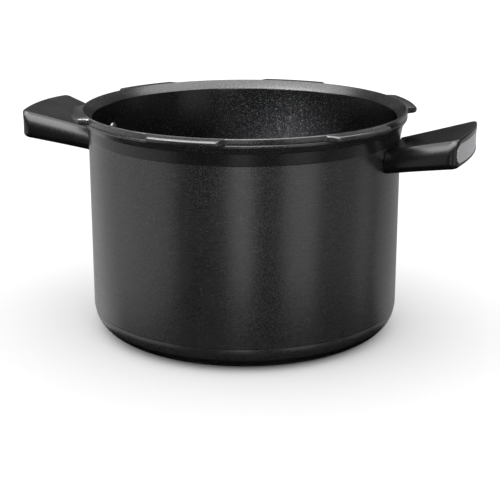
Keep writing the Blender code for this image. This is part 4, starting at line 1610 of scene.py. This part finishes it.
@dataclass(frozen=True)
class Softbox:
    """A tall or wide soft light that faces the pot, at a bearing from the camera's."""

    name: str
    bearing: float
    width: float
    low: float
    high: float
    radiance: float
    distance: float = 2.6

    def hang(self, heading: float) -> bpy.types.Object:
        """Place the light.

        Args:
            heading: Direction of the camera round the pot, in degrees.

        Returns:
            The light.
        """
        angle = math.radians(heading + self.bearing)
        direction = Vector((math.sin(angle), -math.cos(angle), 0.0))
        light = area_light(self.name, self.width, self.high - self.low, self.radiance)
        middle = 0.5 * (self.low + self.high)
        light.location = direction * self.distance + Vector((0.0, 0.0, middle))
        light.rotation_euler = (-direction).to_track_quat("-Z", "Y").to_euler()
        return light


@dataclass
class Studio:
    """Pale floor, soft light from all round and the camera.

    The spot's place and aim are given with +X to the camera's right and -Y towards the camera.
    """

    heading: float = 19.56
    camera_distance: float = 0.9221
    camera_height: float = 0.3363
    camera_pitch: float = math.radians(16.96)
    camera_yaw: float = math.radians(0.247)
    lens: float = 90.44
    sensor: float = 36.0
    nearest: float = 0.05
    floor_radius: float = 6.0
    floor_sides: int = 96
    floor_tones: Pair = (0.96, 0.985)
    floor_cloud_scale: float = 3.0
    floor_roughness: float = 0.9
    dome: float = 1.22
    overhead_size: Pair = (5.2, 2.8)
    overhead_radiance: float = 6.0
    overhead_forward: float = 0.5
    overhead_height: float = 2.3
    spot_energy: float = 2600.0
    spot_angle: float = math.radians(2.4)
    spot_softness: float = 0.03
    spot_place: Point = (-1.05, -1.36, 1.06)
    spot_aim: Point = (0.040, 0.105, 0.096)

    def floor(self) -> None:
        """Plain pale floor."""
        blank = Blank()
        bmesh.ops.create_circle(
            blank.shape, cap_ends=True, segments=self.floor_sides, radius=self.floor_radius)
        floor = blank.piece("floor")
        recipe = Recipe("pale_floor")
        cloud = recipe.noise(recipe.place(), self.floor_cloud_scale, detail=2.0)
        low, high = [(tone, tone, tone) for tone in self.floor_tones]
        material = recipe.surface({
            "Base Color": recipe.blend(cloud, low, high),
            "Roughness": self.floor_roughness,
            "Specular IOR Level": 0.0,
        })
        floor.data.materials.append(material)
        floor.visible_glossy = False
        floor.visible_shadow = False

    def sky(self) -> None:
        """Even white light for everything that isn't a reflection."""
        world = bpy.data.worlds.new("studio")
        world.use_nodes = True
        backdrop = world.node_tree.nodes["Background"]
        backdrop.inputs["Color"].default_value = (1.0, 1.0, 1.0, 1.0)
        backdrop.inputs["Strength"].default_value = self.dome
        world.cycles_visibility.glossy = False
        bpy.context.scene.world = world
        bpy.context.scene.view_settings.view_transform = "Standard"
        bpy.context.scene.view_settings.look = "None"

    def softboxes(self) -> list[Softbox]:
        """The lights that the coating, the bakelite and the steel reflect.

        Returns:
            Each one's name, bearing in degrees, width, lowest and highest edge, and radiance.
        """
        return [
            Softbox("rear_left", -165.0, 1.40, -1.35, 0.0, 0.65),
            Softbox("left_rear", -127.0, 2.10, -1.5, 0.3, 0.85),
            Softbox("left", -78.0, 2.60, -1.6, 0.1, 1.05),
            Softbox("front", -2.5, 0.70, -1.5, 0.0, 2.2),
            Softbox("right_front", 41.0, 1.20, -1.5, 0.7, 1.6),
            Softbox("right", 74.0, 1.10, -1.35, 0.6, 0.40),
            Softbox("right_side", 96.0, 0.80, -1.35, 0.6, 0.75),
            Softbox("right_rear", 140.0, 2.90, -1.35, 0.3, 0.50),
            Softbox("rear_fill", 180.0, 6.0, 0.6, 4.0, 0.27),
            Softbox("upper_front", -30.0, 6.6, 1.15, 4.0, 12.5),
        ]

    def overhead(self) -> None:
        """Large soft light above and a little in front of the pot."""
        light = area_light("overhead", *self.overhead_size, self.overhead_radiance)
        angle = math.radians(self.heading)
        light.location = (self.overhead_forward * math.sin(angle),
                          -self.overhead_forward * math.cos(angle), self.overhead_height)
        light.rotation_euler = (0.0, 0.0, angle)

    def inner_spot(self) -> None:
        """Small soft spot that catches the sparkle low on the far inner wall."""
        data = bpy.data.lights.new("inner_spot", "SPOT")
        data.energy = self.spot_energy
        data.spot_size = self.spot_angle
        data.spot_blend = 1.0
        data.shadow_soft_size = self.spot_softness
        light = placed("inner_spot", data)
        turn = Matrix.Rotation(math.radians(self.heading), 3, "Z")
        place = turn @ Vector(self.spot_place)
        aim = turn @ Vector(self.spot_aim)
        light.location = place
        light.rotation_euler = (aim - place).to_track_quat("-Z", "Y").to_euler()
        light.visible_camera = False

    def camera(self) -> None:
        """Camera at a slight height, turned a little from the front."""
        angle = math.radians(self.heading)
        data = bpy.data.cameras.new("camera")
        data.lens = self.lens
        data.sensor_width = self.sensor
        data.clip_start = self.nearest
        camera = placed("camera", data)
        camera.location = (self.camera_distance * math.sin(angle),
                           -self.camera_distance * math.cos(angle), self.camera_height)
        camera.rotation_euler = (QUARTER_TURN - self.camera_pitch, 0.0, angle - self.camera_yaw)
        bpy.context.scene.camera = camera

    def build(self) -> None:
        """Set up the whole studio."""
        self.camera()
        self.floor()
        self.sky()
        for softbox in self.softboxes():
            softbox.hang(self.heading)
        self.overhead()
        self.inner_spot()


def main() -> None:
    """Build the pot, its grips and the studio."""
    logging.basicConfig(level=logging.INFO, format="%(message)s")
    workshop = Workshop.stocked()
    pot = PotBody()
    hardware = Hardware(pot)
    grip = SideGrip(pot, hardware)
    holes = [hardware.rivet_hole(direction, side) for side in Side for direction in (-1, 1)]
    pot.build(workshop, holes)
    InductionPlate(pot.plate_radius, pot.plate_thickness).build(workshop)
    for side in Side:
        grip.build(side, workshop)
    Studio().build()


if __name__ == "__main__":
    main()
